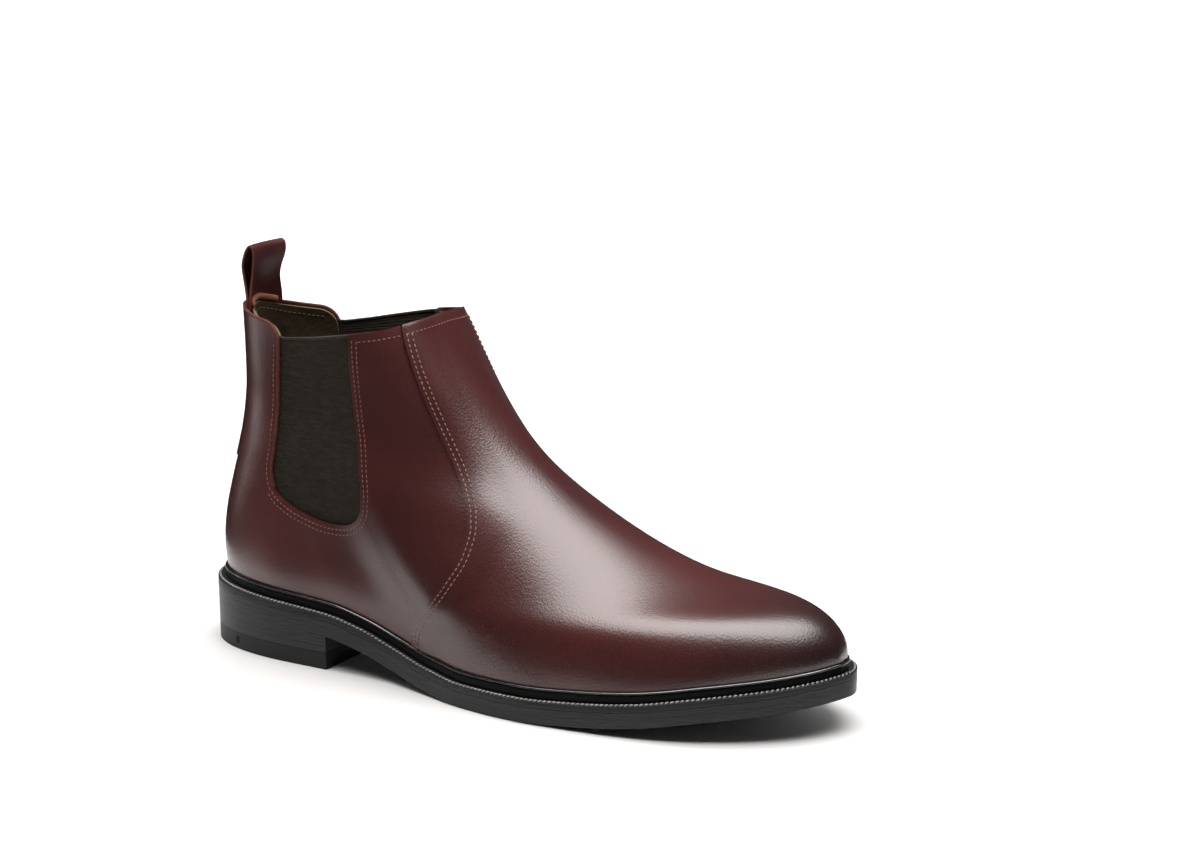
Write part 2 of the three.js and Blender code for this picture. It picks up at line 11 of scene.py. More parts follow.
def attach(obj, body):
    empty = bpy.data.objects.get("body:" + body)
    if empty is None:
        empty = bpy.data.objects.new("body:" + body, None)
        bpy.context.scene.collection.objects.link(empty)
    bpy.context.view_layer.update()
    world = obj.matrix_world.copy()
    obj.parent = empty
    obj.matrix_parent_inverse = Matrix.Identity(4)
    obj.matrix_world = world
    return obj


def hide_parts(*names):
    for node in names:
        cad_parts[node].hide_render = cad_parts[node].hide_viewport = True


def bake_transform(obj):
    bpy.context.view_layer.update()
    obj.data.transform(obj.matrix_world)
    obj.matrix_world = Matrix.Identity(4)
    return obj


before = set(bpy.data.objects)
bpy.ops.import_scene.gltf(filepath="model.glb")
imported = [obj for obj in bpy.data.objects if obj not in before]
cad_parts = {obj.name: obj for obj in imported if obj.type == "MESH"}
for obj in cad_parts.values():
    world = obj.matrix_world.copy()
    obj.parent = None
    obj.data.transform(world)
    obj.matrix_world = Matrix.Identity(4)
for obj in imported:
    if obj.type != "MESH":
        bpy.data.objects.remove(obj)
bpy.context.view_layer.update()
print("frame loaded")

metre = 0.001
sideShift = 2.676


# The last: the solid model's surface, drawn finer. The toe points to -Y, and lateral is -X.
last = {
    "weltSeat": 0.4,
    "featherInset": 5.2,
    "toplineDip": 6.8,
}
soleEdge = np.array([
    (0, 152.5), (-12, 149), (-20.8, 142), (-28.3, 130), (-33.8, 110), (-36.2, 75), (-38.5, 45),
    (-44.5, 22), (-51.2, 0), (-55.2, -28), (-54.5, -50), (-51.3, -80), (-44.3, -105), (-30, -130),
    (-17.5, -143), (-8, -149), (2, -152.5), (13, -149), (21, -143), (31, -130), (43.5, -105),
    (49.5, -80), (48.5, -50), (42, -28), (33.5, 0), (30, 22), (30.5, 45), (33.2, 75), (33.5, 110),
    (28.3, 130), (20.8, 142), (12, 149),
])
weltRise = [
    (-152.5, 24.3), (-130, 21.2), (-105, 17.8), (-80, 13.6), (-55, 11), (-30, 9.6), (0, 9.3),
    (20, 11.1), (40, 15.3), (58, 20.5), (75, 24), (110, 26.2), (152.5, 28.2),
]
frontProfile = [
    (-146.6, 0), (-148, 33), (-143.7, 40), (-137, 45.5), (-124.5, 48.3), (-105, 49.5), (-82.5, 54),
    (-58.5, 62.6), (-34, 74.8), (-11, 89.5), (6.7, 108), (22.8, 130.5), (37, 153.5),
]
backProfile = [
    (147.2, 0), (148.6, 36), (149, 47), (147.4, 59.6), (143.8, 73.7), (140, 86.8), (137.2, 98.6),
    (135.5, 113), (135.6, 130), (136.5, 150),
]
vampSeam = [
    (33, -20), (31.5, 17.8), (27.5, 28.9), (20, 38.2), (11, 50.4), (6, 60.5), (5, 69), (6.4, 75.7),
    (9.6, 82.4), (14.6, 90.5), (20.3, 99.6), (26, 109.6), (31.9, 121.6), (37.6, 134.7), (43, 150),
    (59, 213.5),
]
goreWindow = np.array([
    (104.8, 152), (106, 130), (106.5, 110), (107.6, 92), (109, 81), (106.5, 73.5), (99, 68.6),
    (87.6, 65), (76.3, 63.3), (66, 64.3), (59.4, 68.8), (57.4, 78), (59.6, 92), (62.2, 111),
    (62.6, 131), (61.5, 152),
])


def smoothValue(pairs):
    at, value = np.array(pairs, float).T
    rise = np.diff(value) / np.diff(at)
    slopes = np.zeros(len(at))
    product = rise[:-1] * rise[1:]
    total = np.where(product > 0, rise[:-1] + rise[1:], 1)
    slopes[1:-1] = np.where(product > 0, 2 * product / total, 0)
    slopes[0], slopes[-1] = rise[0], rise[-1]

    def valueAt(x):
        x = np.asarray(x, float)
        i = np.clip(np.searchsorted(at, x) - 1, 0, len(at) - 2)
        width = at[i + 1] - at[i]
        share = (x - at[i]) / width
        u = np.clip(share, 0, 1)
        start = (1 + 2 * u) * (1 - u) ** 2 * value[i] + u * (1 - u) ** 2 * width * slopes[i]
        end = u * u * (3 - 2 * u) * value[i + 1] - u * u * (1 - u) * width * slopes[i + 1]
        outside = np.minimum(share, 0) * slopes[0] + np.maximum(share - 1, 0) * slopes[-1]
        return start + end + outside * width

    return valueAt


def curvePoints(points, shares, closed=False):
    count = len(points)
    spans = count if closed else count - 1
    place = np.asarray(shares, float) * spans
    i = np.clip(np.floor(place).astype(int), 0, spans - 1)
    w = (place - i)[:, None]
    if closed:
        a, b, c, d = (points[(i + k) % count] for k in (-1, 0, 1, 2))
    else:
        first, final = 2 * points[0] - points[1], 2 * points[-1] - points[-2]
        padded = np.vstack([first, points, final])
        a, b, c, d = (padded[i + k] for k in (0, 1, 2, 3))
    ab, bc, cd = (
        np.sqrt(np.linalg.norm(q - p, axis=1))[:, None] for p, q in ((a, b), (b, c), (c, d)))
    leaving = ((b - a) / ab - (c - a) / (ab + bc) + (c - b) / bc) * bc
    arriving = ((c - b) / bc - (d - b) / (bc + cd) + (d - c) / cd) * bc
    square = -3 * b + 3 * c - 2 * leaving - arriving
    cube = 2 * b - 2 * c + leaving + arriving
    return b + leaving * w + square * w**2 + cube * w**3


def alongCurve(points):
    steps = np.linspace(0, 1, 201)
    drawn = curvePoints(points, steps)
    lengths = np.concatenate([[0], np.cumsum(np.linalg.norm(np.diff(drawn, axis=0), axis=1))])
    lengths /= lengths[-1]

    def pointAt(share):
        share = np.asarray(share, float)
        flat = share.ravel()
        beyond = np.maximum(flat - 1, 0)
        place = np.interp(np.minimum(flat, 1), lengths, steps) + beyond
        return curvePoints(points, place).reshape(*share.shape, 2)

    return pointAt


weltTop = smoothValue(weltRise)


def profile(points):
    drawn = np.array(points, float)
    drawn[0, 1] = weltTop(drawn[0, 0]) + last["weltSeat"]
    return alongCurve(drawn)


frontAt = profile(frontProfile)
backAt = profile(backProfile)
ringBase = smoothValue([(0, 36), (0.25, 34.7), (0.5, 34.7), (0.75, 30.6), (1, 31)])
ringSlant = smoothValue([(0, 0), (0.25, 0.9), (0.5, 2.2), (0.75, 8), (1, 20.4)])
ringBackFullness = smoothValue([(0, 0), (0.5, 3.4), (0.75, 9.9), (1, 18)])
ringRoundness = smoothValue([(0, 0), (0.15, 0.16), (0.35, 0.45), (0.55, 0.75), (0.8, 0.96), (1, 1)])
featherBulge = smoothValue([(0, 1), (0.1, 1.035), (0.25, 1.02), (0.6, 1), (1, 1)])
ridgeShift = smoothValue([(0, 3.5), (0.3, 5), (0.6, 4), (1, 0)])

edgePoints = curvePoints(soleEdge, np.linspace(0, 1, 1024, endpoint=False), closed=True)
edgeTangents = np.roll(edgePoints, -1, axis=0) - np.roll(edgePoints, 1, axis=0)
edgeTangents /= np.linalg.norm(edgeTangents, axis=1)[:, None]
edgeInward = np.stack([-edgeTangents[:, 1], edgeTangents[:, 0]], axis=1)


# Sides of the sole's outline, moved in by a distance: x as a function of y, and its two ends.
def outlineSides(inset):
    moved = edgePoints + edgeInward * inset
    front, back = moved[moved[:, 1].argmin()], moved[moved[:, 1].argmax()]
    middle = front[0] + (back[0] - front[0]) * (moved[:, 1] - front[1]) / (back[1] - front[1])

    def side(kept):
        chosen = np.vstack([moved[kept], front, back])
        chosen = chosen[chosen[:, 1].argsort()]
        return lambda y: np.interp(y, chosen[:, 1], chosen[:, 0])

    return side(moved[:, 0] <= middle), side(moved[:, 0] >= middle), front[1], back[1]


featherLateral, featherMedial, _, _ = outlineSides(last["featherInset"])
featherFrontY, featherBackY = frontAt(np.array(0.0))[0], backAt(np.array(0.0))[0]
featherFrontZ, featherBackZ = frontAt(np.array(0.0))[1], backAt(np.array(0.0))[1]


# Point on the last: t is the share of the height, and turn runs from the back over the lateral
# side, the front and the medial side, 0 to 2 pi.
def lastPoint(t, turn):
    t, turn = np.broadcast_arrays(np.asarray(t, float), np.asarray(turn, float))
    turn = np.mod(turn, 2 * math.pi)
    lateral = turn <= math.pi
    angle = np.where(lateral, turn, 2 * math.pi - turn)
    front, back = frontAt(t), backAt(t)
    share = (1 - np.cos(angle)) / 2
    sine = np.abs(np.sin(angle))
    cosine = np.cos(angle)
    featherY = featherBackY + (featherFrontY - featherBackY) * share
    chord = featherBackZ + (featherFrontZ - featherBackZ) * share
    sag = weltTop(featherY) + last["weltSeat"] - chord
    featherX = np.where(lateral, featherLateral(featherY), featherMedial(featherY))
    featherHalf = np.where(lateral, -1, 1) * (featherX - ridgeShift(0) * share)
    fullness = ringBackFullness(t) * np.maximum(cosine, 0) ** 2
    roundHalf = (ringBase(t) - ringSlant(t) * cosine + fullness) * sine
    roundness = ringRoundness(t)
    half = (1 - roundness) * featherBulge(t) * featherHalf + roundness * roundHalf
    x = ridgeShift(t) * share + np.where(lateral, -1, 1) * half
    y = back[..., 0] + (front[..., 0] - back[..., 0]) * share
    dip = last["toplineDip"] * t**3 * sine**1.3
    z = back[..., 1] + (front[..., 1] - back[..., 1]) * share
    z = z + sag * np.maximum(1 - t, 0) ** 2.2 - dip
    return np.stack([x, y, z], axis=-1)


def lastNormal(t, turn):
    around = lastPoint(t, turn + 0.02) - lastPoint(t, turn - 0.02)
    upward = lastPoint(t + 0.006, turn) - lastPoint(np.maximum(t - 0.006, 0), turn)
    normal = np.cross(around, upward)
    return normal / np.linalg.norm(normal, axis=-1)[..., None]


def onLast(t, turn, depth=0.0):
    t, turn = np.broadcast_arrays(np.asarray(t, float), np.asarray(turn, float))
    depth = np.broadcast_to(depth, t.shape)
    return lastPoint(t, turn) - lastNormal(t, turn) * depth[..., None]


# Place on the last of points drawn in the side view.
def locate(y, z):
    t = np.clip((z - 20) / 130, 0.05, 1)
    angle = np.arccos(np.clip(1 - 2 * (140 - y) / 200, -0.99, 0.99))
    for _ in range(25):
        here = lastPoint(t, angle)
        byHeight = (lastPoint(t + 1e-3, angle) - here) / 1e-3
        byAngle = (lastPoint(t, angle + 1e-3) - here) / 1e-3
        missY, missZ = y - here[..., 1], z - here[..., 2]
        area = byHeight[..., 1] * byAngle[..., 2] - byHeight[..., 2] * byAngle[..., 1]
        stepT = (missY * byAngle[..., 2] - missZ * byAngle[..., 1]) / area
        stepAngle = (byHeight[..., 1] * missZ - byHeight[..., 2] * missY) / area
        t = np.clip(t + np.clip(stepT, -0.1, 0.1), 0.01, 1.08)
        angle = np.clip(angle + np.clip(stepAngle, -0.2, 0.2), 0.05, 3.0)
    return t, angle


fineAngles = np.linspace(0, math.pi, 721)


# Angle at which each row of the last crosses a line y(z) of the side view.
def angleOfLine(rows, lineAt):
    found = []
    for t in rows:
        row = lastPoint(t, fineAngles)
        found.append(np.interp(0, lineAt(row[:, 2]) - row[:, 1], fineAngles))
    return np.array(found)


def ease(x):
    x = np.clip(x, 0, 1)
    return x * x * (3 - 2 * x)


def resample(points, count):
    lengths = np.concatenate([[0], np.cumsum(np.linalg.norm(np.diff(points, axis=0), axis=1))])
    at = np.linspace(0, lengths[-1], count)
    return np.stack([np.interp(at, lengths, column) for column in points.T], axis=1)


seamAt = smoothValue([(z, y) for y, z in vampSeam])
windowLine = curvePoints(goreWindow, np.linspace(0, 1, 500))
windowT, windowAngle = locate(windowLine[:, 0], windowLine[:, 1])
inside = windowT <= 1
windowT, windowAngle = windowT[inside], windowAngle[inside]
windowT[0] = windowT[-1] = 1.0
rearAt = smoothValue([(60, 109.5), (81, 109), (92, 107.6), (110, 106.5), (130, 106), (152, 104.8)])
frontEdgeAt = smoothValue([(60, 58), (78, 57.4), (92, 59.6), (111, 62.2), (131, 62.6), (152, 61.5)])
print("last drawn")


# Mesh helpers.
def toMetres(point):
    return Vector(((point[0] + sideShift) * metre, point[1] * metre, point[2] * metre))


def keep(name, mesh, material, body="boot", smooth=True):
    for face in mesh.faces:
        face.smooth = smooth
    data = bpy.data.meshes.new(name)
    mesh.to_mesh(data)
    mesh.free()
    piece = bpy.data.objects.new(name, data)
    bpy.context.collection.objects.link(piece)
    data.materials.append(material)
    if body:
        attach(piece, body)
    return piece


# Sheet through a grid of points. outward gives the side its faces look to, one vector per point.
def gridMesh(points, outward=None, weld=False, repeat=(1, 1)):
    rows, columns = points.shape[:2]
    mesh = bmesh.new()
    uvLayer = mesh.loops.layers.uv.new("UVMap")
    bmesh.ops.create_grid(mesh, x_segments=columns - 1, y_segments=rows - 1, size=1)
    mesh.verts.ensure_lookup_table()
    for vert in mesh.verts:
        column = round((vert.co.x + 1) / 2 * (columns - 1))
        row = round((vert.co.y + 1) / 2 * (rows - 1))
        vert.co = (column, row, 0)
    for face in mesh.faces:
        for loop in face.loops:
            place = loop.vert.co
            loop[uvLayer].uv = (
                place.x / (columns - 1) * repeat[0], place.y / (rows - 1) * repeat[1])
    middle = None
    for vert in mesh.verts:
        column, row = round(vert.co.x), round(vert.co.y)
        if outward is not None and (row, column) == (rows // 2, columns // 2):
            middle = (vert, Vector(outward[row, column]))
        vert.co = toMetres(points[row, column])
    mesh.normal_update()
    if middle is not None and middle[0].normal.dot(middle[1]) < 0:
        bmesh.ops.reverse_faces(mesh, faces=mesh.faces)
    if weld:
        bmesh.ops.remove_doubles(mesh, verts=mesh.verts, dist=2e-6)
    if outward is None:
        bmesh.ops.recalc_face_normals(mesh, faces=mesh.faces)
    return mesh


def thicken(piece, thickness, rimSlot=0):
    modifier = piece.modifiers.new("Thickness", "SOLIDIFY")
    modifier.thickness = thickness * metre
    modifier.offset = -1
    modifier.use_even_offset = False
    modifier.material_offset_rim = rimSlot
    return piece


def soften(piece, width, segments=2, angle=40):
    modifier = piece.modifiers.new("Edges", "BEVEL")
    modifier.width = width * metre
    modifier.segments = segments
    modifier.limit_method = "ANGLE"
    modifier.angle_limit = math.radians(angle)
    weights = piece.modifiers.new("Normals", "WEIGHTED_NORMAL")
    weights.keep_sharp = True
    return piece


# Tube along a line. Radii are across the surface and out of it; outward is the surface's normal.
def sweep(line, outward, acrossRadius, outRadius, sides=10, closed=False):
    tangents = np.gradient(line, axis=0)
    if closed:
        tangents = np.roll(line, -1, axis=0) - np.roll(line, 1, axis=0)
    tangents /= np.linalg.norm(tangents, axis=1)[:, None]
    across = np.cross(outward, tangents)
    across /= np.linalg.norm(across, axis=1)[:, None]
    angles = np.linspace(0, 2 * math.pi, sides + 1)
    taper = np.ones(len(line))
    if not closed:
        taper[0] = taper[-1] = 0.02
        taper[1] = taper[-2] = 0.7
    rings = [
        line + across * (math.cos(a) * acrossRadius * taper)[:, None]
        + outward * (math.sin(a) * outRadius * taper)[:, None]
        for a in angles
    ]
    if closed:
        rings = [np.vstack([ring, ring[:1]]) for ring in rings]
    return gridMesh(np.stack(rings), weld=True)


# Row of thread stitches along a line on a surface; lean turns each stitch away from the line.
def stitchRow(name, line, outward, thread, material):
    steps = np.linalg.norm(np.diff(line, axis=0), axis=1)
    lengths = np.concatenate([[0], np.cumsum(steps)])
    count = max(int(lengths[-1] / thread["pitch"]), 2)
    mesh = bmesh.new()
    for k in range(count):
        at = (k + 0.5) * lengths[-1] / count
        centre = Vector([np.interp(at, lengths, column) for column in line.T])
        up = Vector([np.interp(at, lengths, column) for column in outward.T]).normalized()
        ahead = Vector([np.interp(at + 0.3, lengths, column) for column in line.T])
        behind = Vector([np.interp(at - 0.3, lengths, column) for column in line.T])
        forward = (ahead - behind).normalized()
        forward = Matrix.Rotation(math.radians(thread.get("lean", 0)), 3, up) @ forward
        side = up.cross(forward).normalized()
        centre = centre + up * thread.get("lift", 0)
        frameMatrix = Matrix((side, forward, up)).transposed().to_4x4()
        frameMatrix.translation = toMetres(centre)
        size = Matrix.Diagonal((
            thread["width"] * metre, thread["length"] * metre, thread["height"] * metre, 1))
        bmesh.ops.create_uvsphere(
            mesh, u_segments=6, v_segments=5, radius=0.5, matrix=frameMatrix @ size)
    piece = keep(name, mesh, material)
    return piece


# The leather is darker towards the tip of the toe.
toeDarkening = {"startY": -0.095, "endY": -0.155, "colour": (0.006, 0.0015, 0.0018)}


# Materials: noise over the object gives the colour patches, the sheen's changes and the relief.
def grained(name, dark, light, roughness, patch=30, grain=900, relief=0.00008, stretch=(1, 1, 1),
            sheenChange=0.05, **sockets):
    material = bpy.data.materials.new(name)
    material.use_nodes = True
    nodes, links = material.node_tree.nodes, material.node_tree.links
    shader = nodes["Principled BSDF"]
    place = nodes.new("ShaderNodeTexCoord")
    scaled = nodes.new("ShaderNodeMapping")
    scaled.inputs["Scale"].default_value = stretch
    links.new(place.outputs["Object"], scaled.inputs["Vector"])
    patches = nodes.new("ShaderNodeTexNoise")
    patches.inputs["Scale"].default_value = patch
    patches.inputs["Detail"].default_value = 3
    links.new(scaled.outputs["Vector"], patches.inputs["Vector"])
    colours = nodes.new("ShaderNodeMix")
    colours.data_type = "RGBA"
    colours.inputs[6].default_value = (*dark, 1)
    colours.inputs[7].default_value = (*light, 1)
    links.new(patches.outputs["Fac"], colours.inputs["Factor"])
    links.new(colours.outputs[2], shader.inputs["Base Color"])
    fine = nodes.new("ShaderNodeTexNoise")
    fine.inputs["Scale"].default_value = grain
    fine.inputs["Detail"].default_value = 2
    links.new(scaled.outputs["Vector"], fine.inputs["Vector"])
    sheen = nodes.new("ShaderNodeMapRange")
    sheen.inputs["To Min"].default_value = roughness - sheenChange
    sheen.inputs["To Max"].default_value = roughness + sheenChange
    links.new(patches.outputs["Fac"], sheen.inputs["Value"])
    links.new(sheen.outputs["Result"], shader.inputs["Roughness"])
    bump = nodes.new("ShaderNodeBump")
    bump.inputs["Distance"].default_value = relief
    links.new(fine.outputs["Fac"], bump.inputs["Height"])
    links.new(bump.outputs["Normal"], shader.inputs["Normal"])
    if "coat" in sockets:
        shader.inputs["Coat Weight"].default_value = sockets["coat"]
        shader.inputs["Coat Roughness"].default_value = sockets.get("coatRoughness", 0.1)
        links.new(bump.outputs["Normal"], shader.inputs["Coat Normal"])
    # Optional darkening of the colour towards the tip of the toe.
    if "burnish" in sockets:
        parts = nodes.new("ShaderNodeSeparateXYZ")
        links.new(place.outputs["Object"], parts.inputs["Vector"])
        toward = nodes.new("ShaderNodeMapRange")
        toward.interpolation_type = "SMOOTHSTEP"
        toward.inputs["From Min"].default_value = toeDarkening["startY"]
        toward.inputs["From Max"].default_value = toeDarkening["endY"]
        toward.inputs["To Max"].default_value = sockets["burnish"]
        links.new(parts.outputs["Y"], toward.inputs["Value"])
        darkened = nodes.new("ShaderNodeMix")
        darkened.data_type = "RGBA"
        darkened.inputs[7].default_value = (*toeDarkening["colour"], 1)
        links.new(toward.outputs["Result"], darkened.inputs["Factor"])
        links.new(colours.outputs[2], darkened.inputs[6])
        links.new(darkened.outputs[2], shader.inputs["Base Color"])
    shader.inputs["Metallic"].default_value = sockets.get("metallic", 0)
    shader.inputs["Specular IOR Level"].default_value = sockets.get("specular", 0.5)
    return material


leather = grained(
    "burgundyLeather", (0.024, 0.0038, 0.0043), (0.087, 0.0122, 0.0102), 0.36, patch=16, grain=1150,
    relief=0.0001, coat=0.75, coatRoughness=0.27, specular=0.6, burnish=0.85)
strapLeather = grained(
    "strapLeather", (0.024, 0.0048, 0.0052), (0.075, 0.0135, 0.0125), 0.5, patch=30, grain=1150,
    relief=0.00012, specular=0.35)
rawEdge = grained(
    "rawEdge", (0.055, 0.015, 0.012), (0.14, 0.042, 0.03), 0.8, patch=500, grain=2500,
    relief=0.0003, specular=0.2)
suede = grained(
    "suede", (0.14, 0.035, 0.02), (0.42, 0.17, 0.1), 0.85, patch=700, grain=2500,
    relief=0.0006, specular=0.2)
liningLeather = grained(
    "liningLeather", (0.016, 0.0115, 0.0055), (0.047, 0.034, 0.016), 0.45, patch=90, grain=420,
    relief=0.00045, specular=0.4)
liningEdge = grained(
    "liningEdge", (0.09, 0.068, 0.036), (0.2, 0.155, 0.085), 0.6, patch=200, grain=1500,
    relief=0.0002, specular=0.3)
elastic = grained(
    "elastic", (0.0085, 0.0072, 0.005), (0.035, 0.0295, 0.0215), 0.8, patch=420, grain=700,
    relief=0.0004, stretch=(0.5, 0.5, 2.4), specular=0.15)
# Folded top edge of the elastic: the fold is real, and its colour, lighter than the panel's, is a
# painted highlight along it.
elasticFoldHighlight = grained(
    "elasticFoldHighlight", (0.02, 0.016, 0.012), (0.045, 0.036, 0.028), 0.75, patch=400, grain=1800,
    relief=0.0002, specular=0.2)
soleEdgeFinish = grained(
    "soleEdgeFinish", (0.012, 0.0122, 0.0128), (0.029, 0.0293, 0.0305), 0.42, patch=18, grain=160,
    relief=0.0002, stretch=(1, 1, 9), specular=0.3)
rubber = grained(
    "rubber", (0.01, 0.0102, 0.0108), (0.019, 0.0193, 0.02), 0.5, patch=40, grain=900,
    relief=0.0001, specular=0.22)
randBlack = grained(
    "randBlack", (0.003, 0.003, 0.0032), (0.007, 0.007, 0.0075), 0.5, patch=60, grain=700,
    relief=0.0001, specular=0.25)
randFinish = grained(
    "randFinish", (0.004, 0.004, 0.0045), (0.008, 0.008, 0.009), 0.24, patch=60, grain=500,
    relief=0.00005, coat=1, coatRoughness=0.2, specular=0.8)
creamThread = grained(
    "creamThread", (0.16, 0.09, 0.07), (0.34, 0.21, 0.17), 0.6, patch=150, grain=3000,
    relief=0.0002)
mauveThread = grained(
    "mauveThread", (0.16, 0.05, 0.05), (0.34, 0.14, 0.13), 0.55, patch=150, grain=3000,
    relief=0.0002)
weltThread = grained(
    "weltThread", (0.16, 0.155, 0.15), (0.42, 0.41, 0.39), 0.5, patch=90, grain=3000,
    relief=0.0002)
stiffener = grained(
    "stiffener", (0.4, 0.35, 0.27), (0.5, 0.45, 0.36), 0.8, patch=80, grain=1500, relief=0.0002)
board = grained(
    "board", (0.32, 0.22, 0.13), (0.45, 0.33, 0.2), 0.8, patch=60, grain=1500, relief=0.0002)
cork = grained(
    "cork", (0.16, 0.09, 0.045), (0.36, 0.23, 0.12), 0.9, patch=400, grain=900, relief=0.0004)
steel = grained(
    "steel", (0.4, 0.4, 0.41), (0.55, 0.55, 0.56), 0.35, patch=80, grain=1500, relief=0.00003,
    metallic=1)
print("materials made")

for node, finish, slotName in (
    ("toe_puff", stiffener, "stiffener"), ("heel_counter", stiffener, "stiffener"),
    ("insole", board, "insole_board"), ("cork_filler", cork, "cork"), ("shank", steel, "steel"),
    *((f"heel_nail_{k}", steel, "steel") for k in range(1, 6)),
):
    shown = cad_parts[node]
    shown.data.materials.clear()
    shown.data.materials.append(finish)
for finish, names in (
    (leather, ("vamp", "quarter_lateral", "quarter_medial", "back_strip", "pull_tab",
               "pull_tab_anchor", "topline_tape")),
    (liningLeather, ("vamp_lining", "back_lining", "sock_liner", "heel_pad")),
    (elastic, ("gore_lateral", "gore_medial")),
    (randBlack, ("rand",)),
    (soleEdgeFinish, ("welt", "midsole", "heel_wedge", "heel_lift_1", "heel_lift_2")),
    (rubber, ("outsole", "heel_top_piece")),
    (weltThread, ("welt_thread",)),
):
    for name in names:
        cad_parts[name].data.materials.clear()
        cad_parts[name].data.materials.append(finish)


# Leather panels of the upper.
upper = {
    "leather": 1.5,
    "vampLeather": 1.1,
    "vampLift": 1.25,     # the vamp's edge lies on the quarters
    "liftRun": 13,
    "underlap": 4,
    "underlapDepth": 0.45,
    "edgeRound": 0.3,
    "cornerRadius": 9,    # rear top corner beside the elastic
    "wallLength": 128,    # from feather line to topline, at the side
    "smoothing": 260,     # passes that even out the vamp over the toe
}
# Last row of the window's rear edge before it turns in under the elastic.
lowRear = np.argmax(lastPoint(windowT, windowAngle)[:, 2] < 74)


def rearEdgeAngle(t):
    return np.interp(t, windowT[:lowRear][::-1], windowAngle[:lowRear][::-1])


# Moves the rear panels' points down and along the window's edge, so that the top corner is round.
def cornerDrop(t, turn):
    lateral = turn <= math.pi
    angle = np.where(lateral, turn, 2 * math.pi - turn)
    edgeAngle = rearEdgeAngle(t)
    onTop = angle * windowAngle[0] / edgeAngle
    cornerY = lastPoint(1, windowAngle[0])[1]
    radius = upper["cornerRadius"]
    away = np.clip(lastPoint(np.ones_like(t), onTop)[..., 1] - cornerY, 0, radius)
    drop = radius - np.sqrt(radius**2 - (radius - away) ** 2)
    drop = np.where(angle < edgeAngle + 0.02, drop, 0)
    lowered = t - drop / upper["wallLength"] * ease((t - 0.8) / 0.2)
    angle = np.where(drop > 0, angle * rearEdgeAngle(lowered) / edgeAngle, angle)
    return lowered, np.where(lateral, angle, 2 * math.pi - angle)


# The lifted edge runs down to nothing much behind the rand.
def footTaper(t):
    return 0.4 + 0.6 * ease((t - 0.015) / 0.05)


def evenOut(grid, free, passes):
    for _ in range(passes):
        around = (grid[:-2, 1:-1] + grid[2:, 1:-1] + grid[1:-1, :-2] + grid[1:-1, 2:]) / 4
        grid[1:-1, 1:-1] += (around - grid[1:-1, 1:-1]) * 0.7 * free


def vampPoints(rows, columns):
    t = np.linspace(0, 1, rows)
    start = angleOfLine(t, seamAt)
    share = np.linspace(0, 1, columns)
    turn = start[:, None] + (2 * math.pi - 2 * start[:, None]) * share[None, :]
    t = np.repeat(t[:, None], columns, axis=1)
    base = lastPoint(t, turn)
    steps = np.linalg.norm(np.diff(base, axis=1), axis=2)
    fromStart = np.concatenate([np.zeros((rows, 1)), np.cumsum(steps, axis=1)], axis=1)
    edge = np.minimum(fromStart, fromStart[:, -1:] - fromStart) * 0.85
    free = (ease(edge / 25) * ease(t / 0.12) * ease((1 - t) / 0.1))[1:-1, 1:-1, None]
    formed = base.copy()
    evenOut(base, free, upper["smoothing"])
    lost = formed - base
    evenOut(lost, free, upper["smoothing"] // 2)
    base += lost
    lift = upper["vampLift"] * (1 - ease((edge - 3) / upper["liftRun"])) * footTaper(t)
    normal = lastNormal(t, turn)
    return base + normal * lift[..., None], normal


points, normals = vampPoints(150, 190)
vamp = keep("vamp_shell", gridMesh(points, normals), leather)
thicken(vamp, upper["vampLeather"])
soften(vamp, upper["edgeRound"])
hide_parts("vamp")


# Grid from the elastic's window out to the back line, feather line and vamp seam.
def quarterGrid(along, across):
    windowPath = lastPoint(windowT, windowAngle)
    lengths = np.concatenate(
        [[0], np.cumsum(np.linalg.norm(np.diff(windowPath, axis=0), axis=1))])
    lengths /= lengths[-1]
    s = np.linspace(0, 1, along)
    innerT, innerAngle = np.interp(s, lengths, windowT), np.interp(s, lengths, windowAngle)
    backShare, footShare, backAngle = 0.37, 0.62, 0.0015
    footAngle = angleOfLine([0.0], seamAt)[0]
    footPerRadian = np.linalg.norm(lastPoint(0, footAngle + 0.01) - lastPoint(0, footAngle)) / 0.01
    footAngle += upper["underlap"] / footPerRadian
    outerT, outerAngle = [], []
    for share in s:
        if share < backShare:
            outerT.append(1 - share / backShare)
            outerAngle.append(backAngle)
        elif share < footShare:
            outerT.append(0.0)
            outerAngle.append(
                backAngle + footAngle * (share - backShare) / (footShare - backShare))
        else:
            outerT.append((share - footShare) / (1 - footShare))
            outerAngle.append(None)
    outerT = np.array(outerT)
    seamPart = s >= footShare
    outerAngle = np.array([a if a is not None else 0 for a in outerAngle])
    seamAngles = angleOfLine(outerT[seamPart], seamAt)
    here = lastPoint(outerT[seamPart], seamAngles)
    further = lastPoint(outerT[seamPart], seamAngles + 0.01)
    perRadian = np.linalg.norm(further - here, axis=1) / 0.01
    outerAngle[seamPart] = seamAngles + upper["underlap"] / perRadian
    r = np.linspace(0, 1, across)[:, None]
    t = innerT[None, :] * (1 - r) + outerT[None, :] * r
    angle = innerAngle[None, :] * (1 - r) + outerAngle[None, :] * r
    return t, angle


for side in ("lateral", "medial"):
    t, angle = quarterGrid(260, 44)
    seamAngle = np.interp(t, np.linspace(0, 1, 60), angleOfLine(np.linspace(0, 1, 60), seamAt))
    depth = upper["underlapDepth"] * ease((angle - seamAngle) / 0.08)
    turn = angle if side == "lateral" else 2 * math.pi - angle
    t, turn = cornerDrop(t, turn)
    quarter = keep(
        f"quarter_{side}_shell", gridMesh(onLast(t, turn, depth), lastNormal(t, turn)), leather)
    thicken(quarter, upper["leather"])
    soften(quarter, upper["edgeRound"])
    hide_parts(f"quarter_{side}")
print("leather panels made")

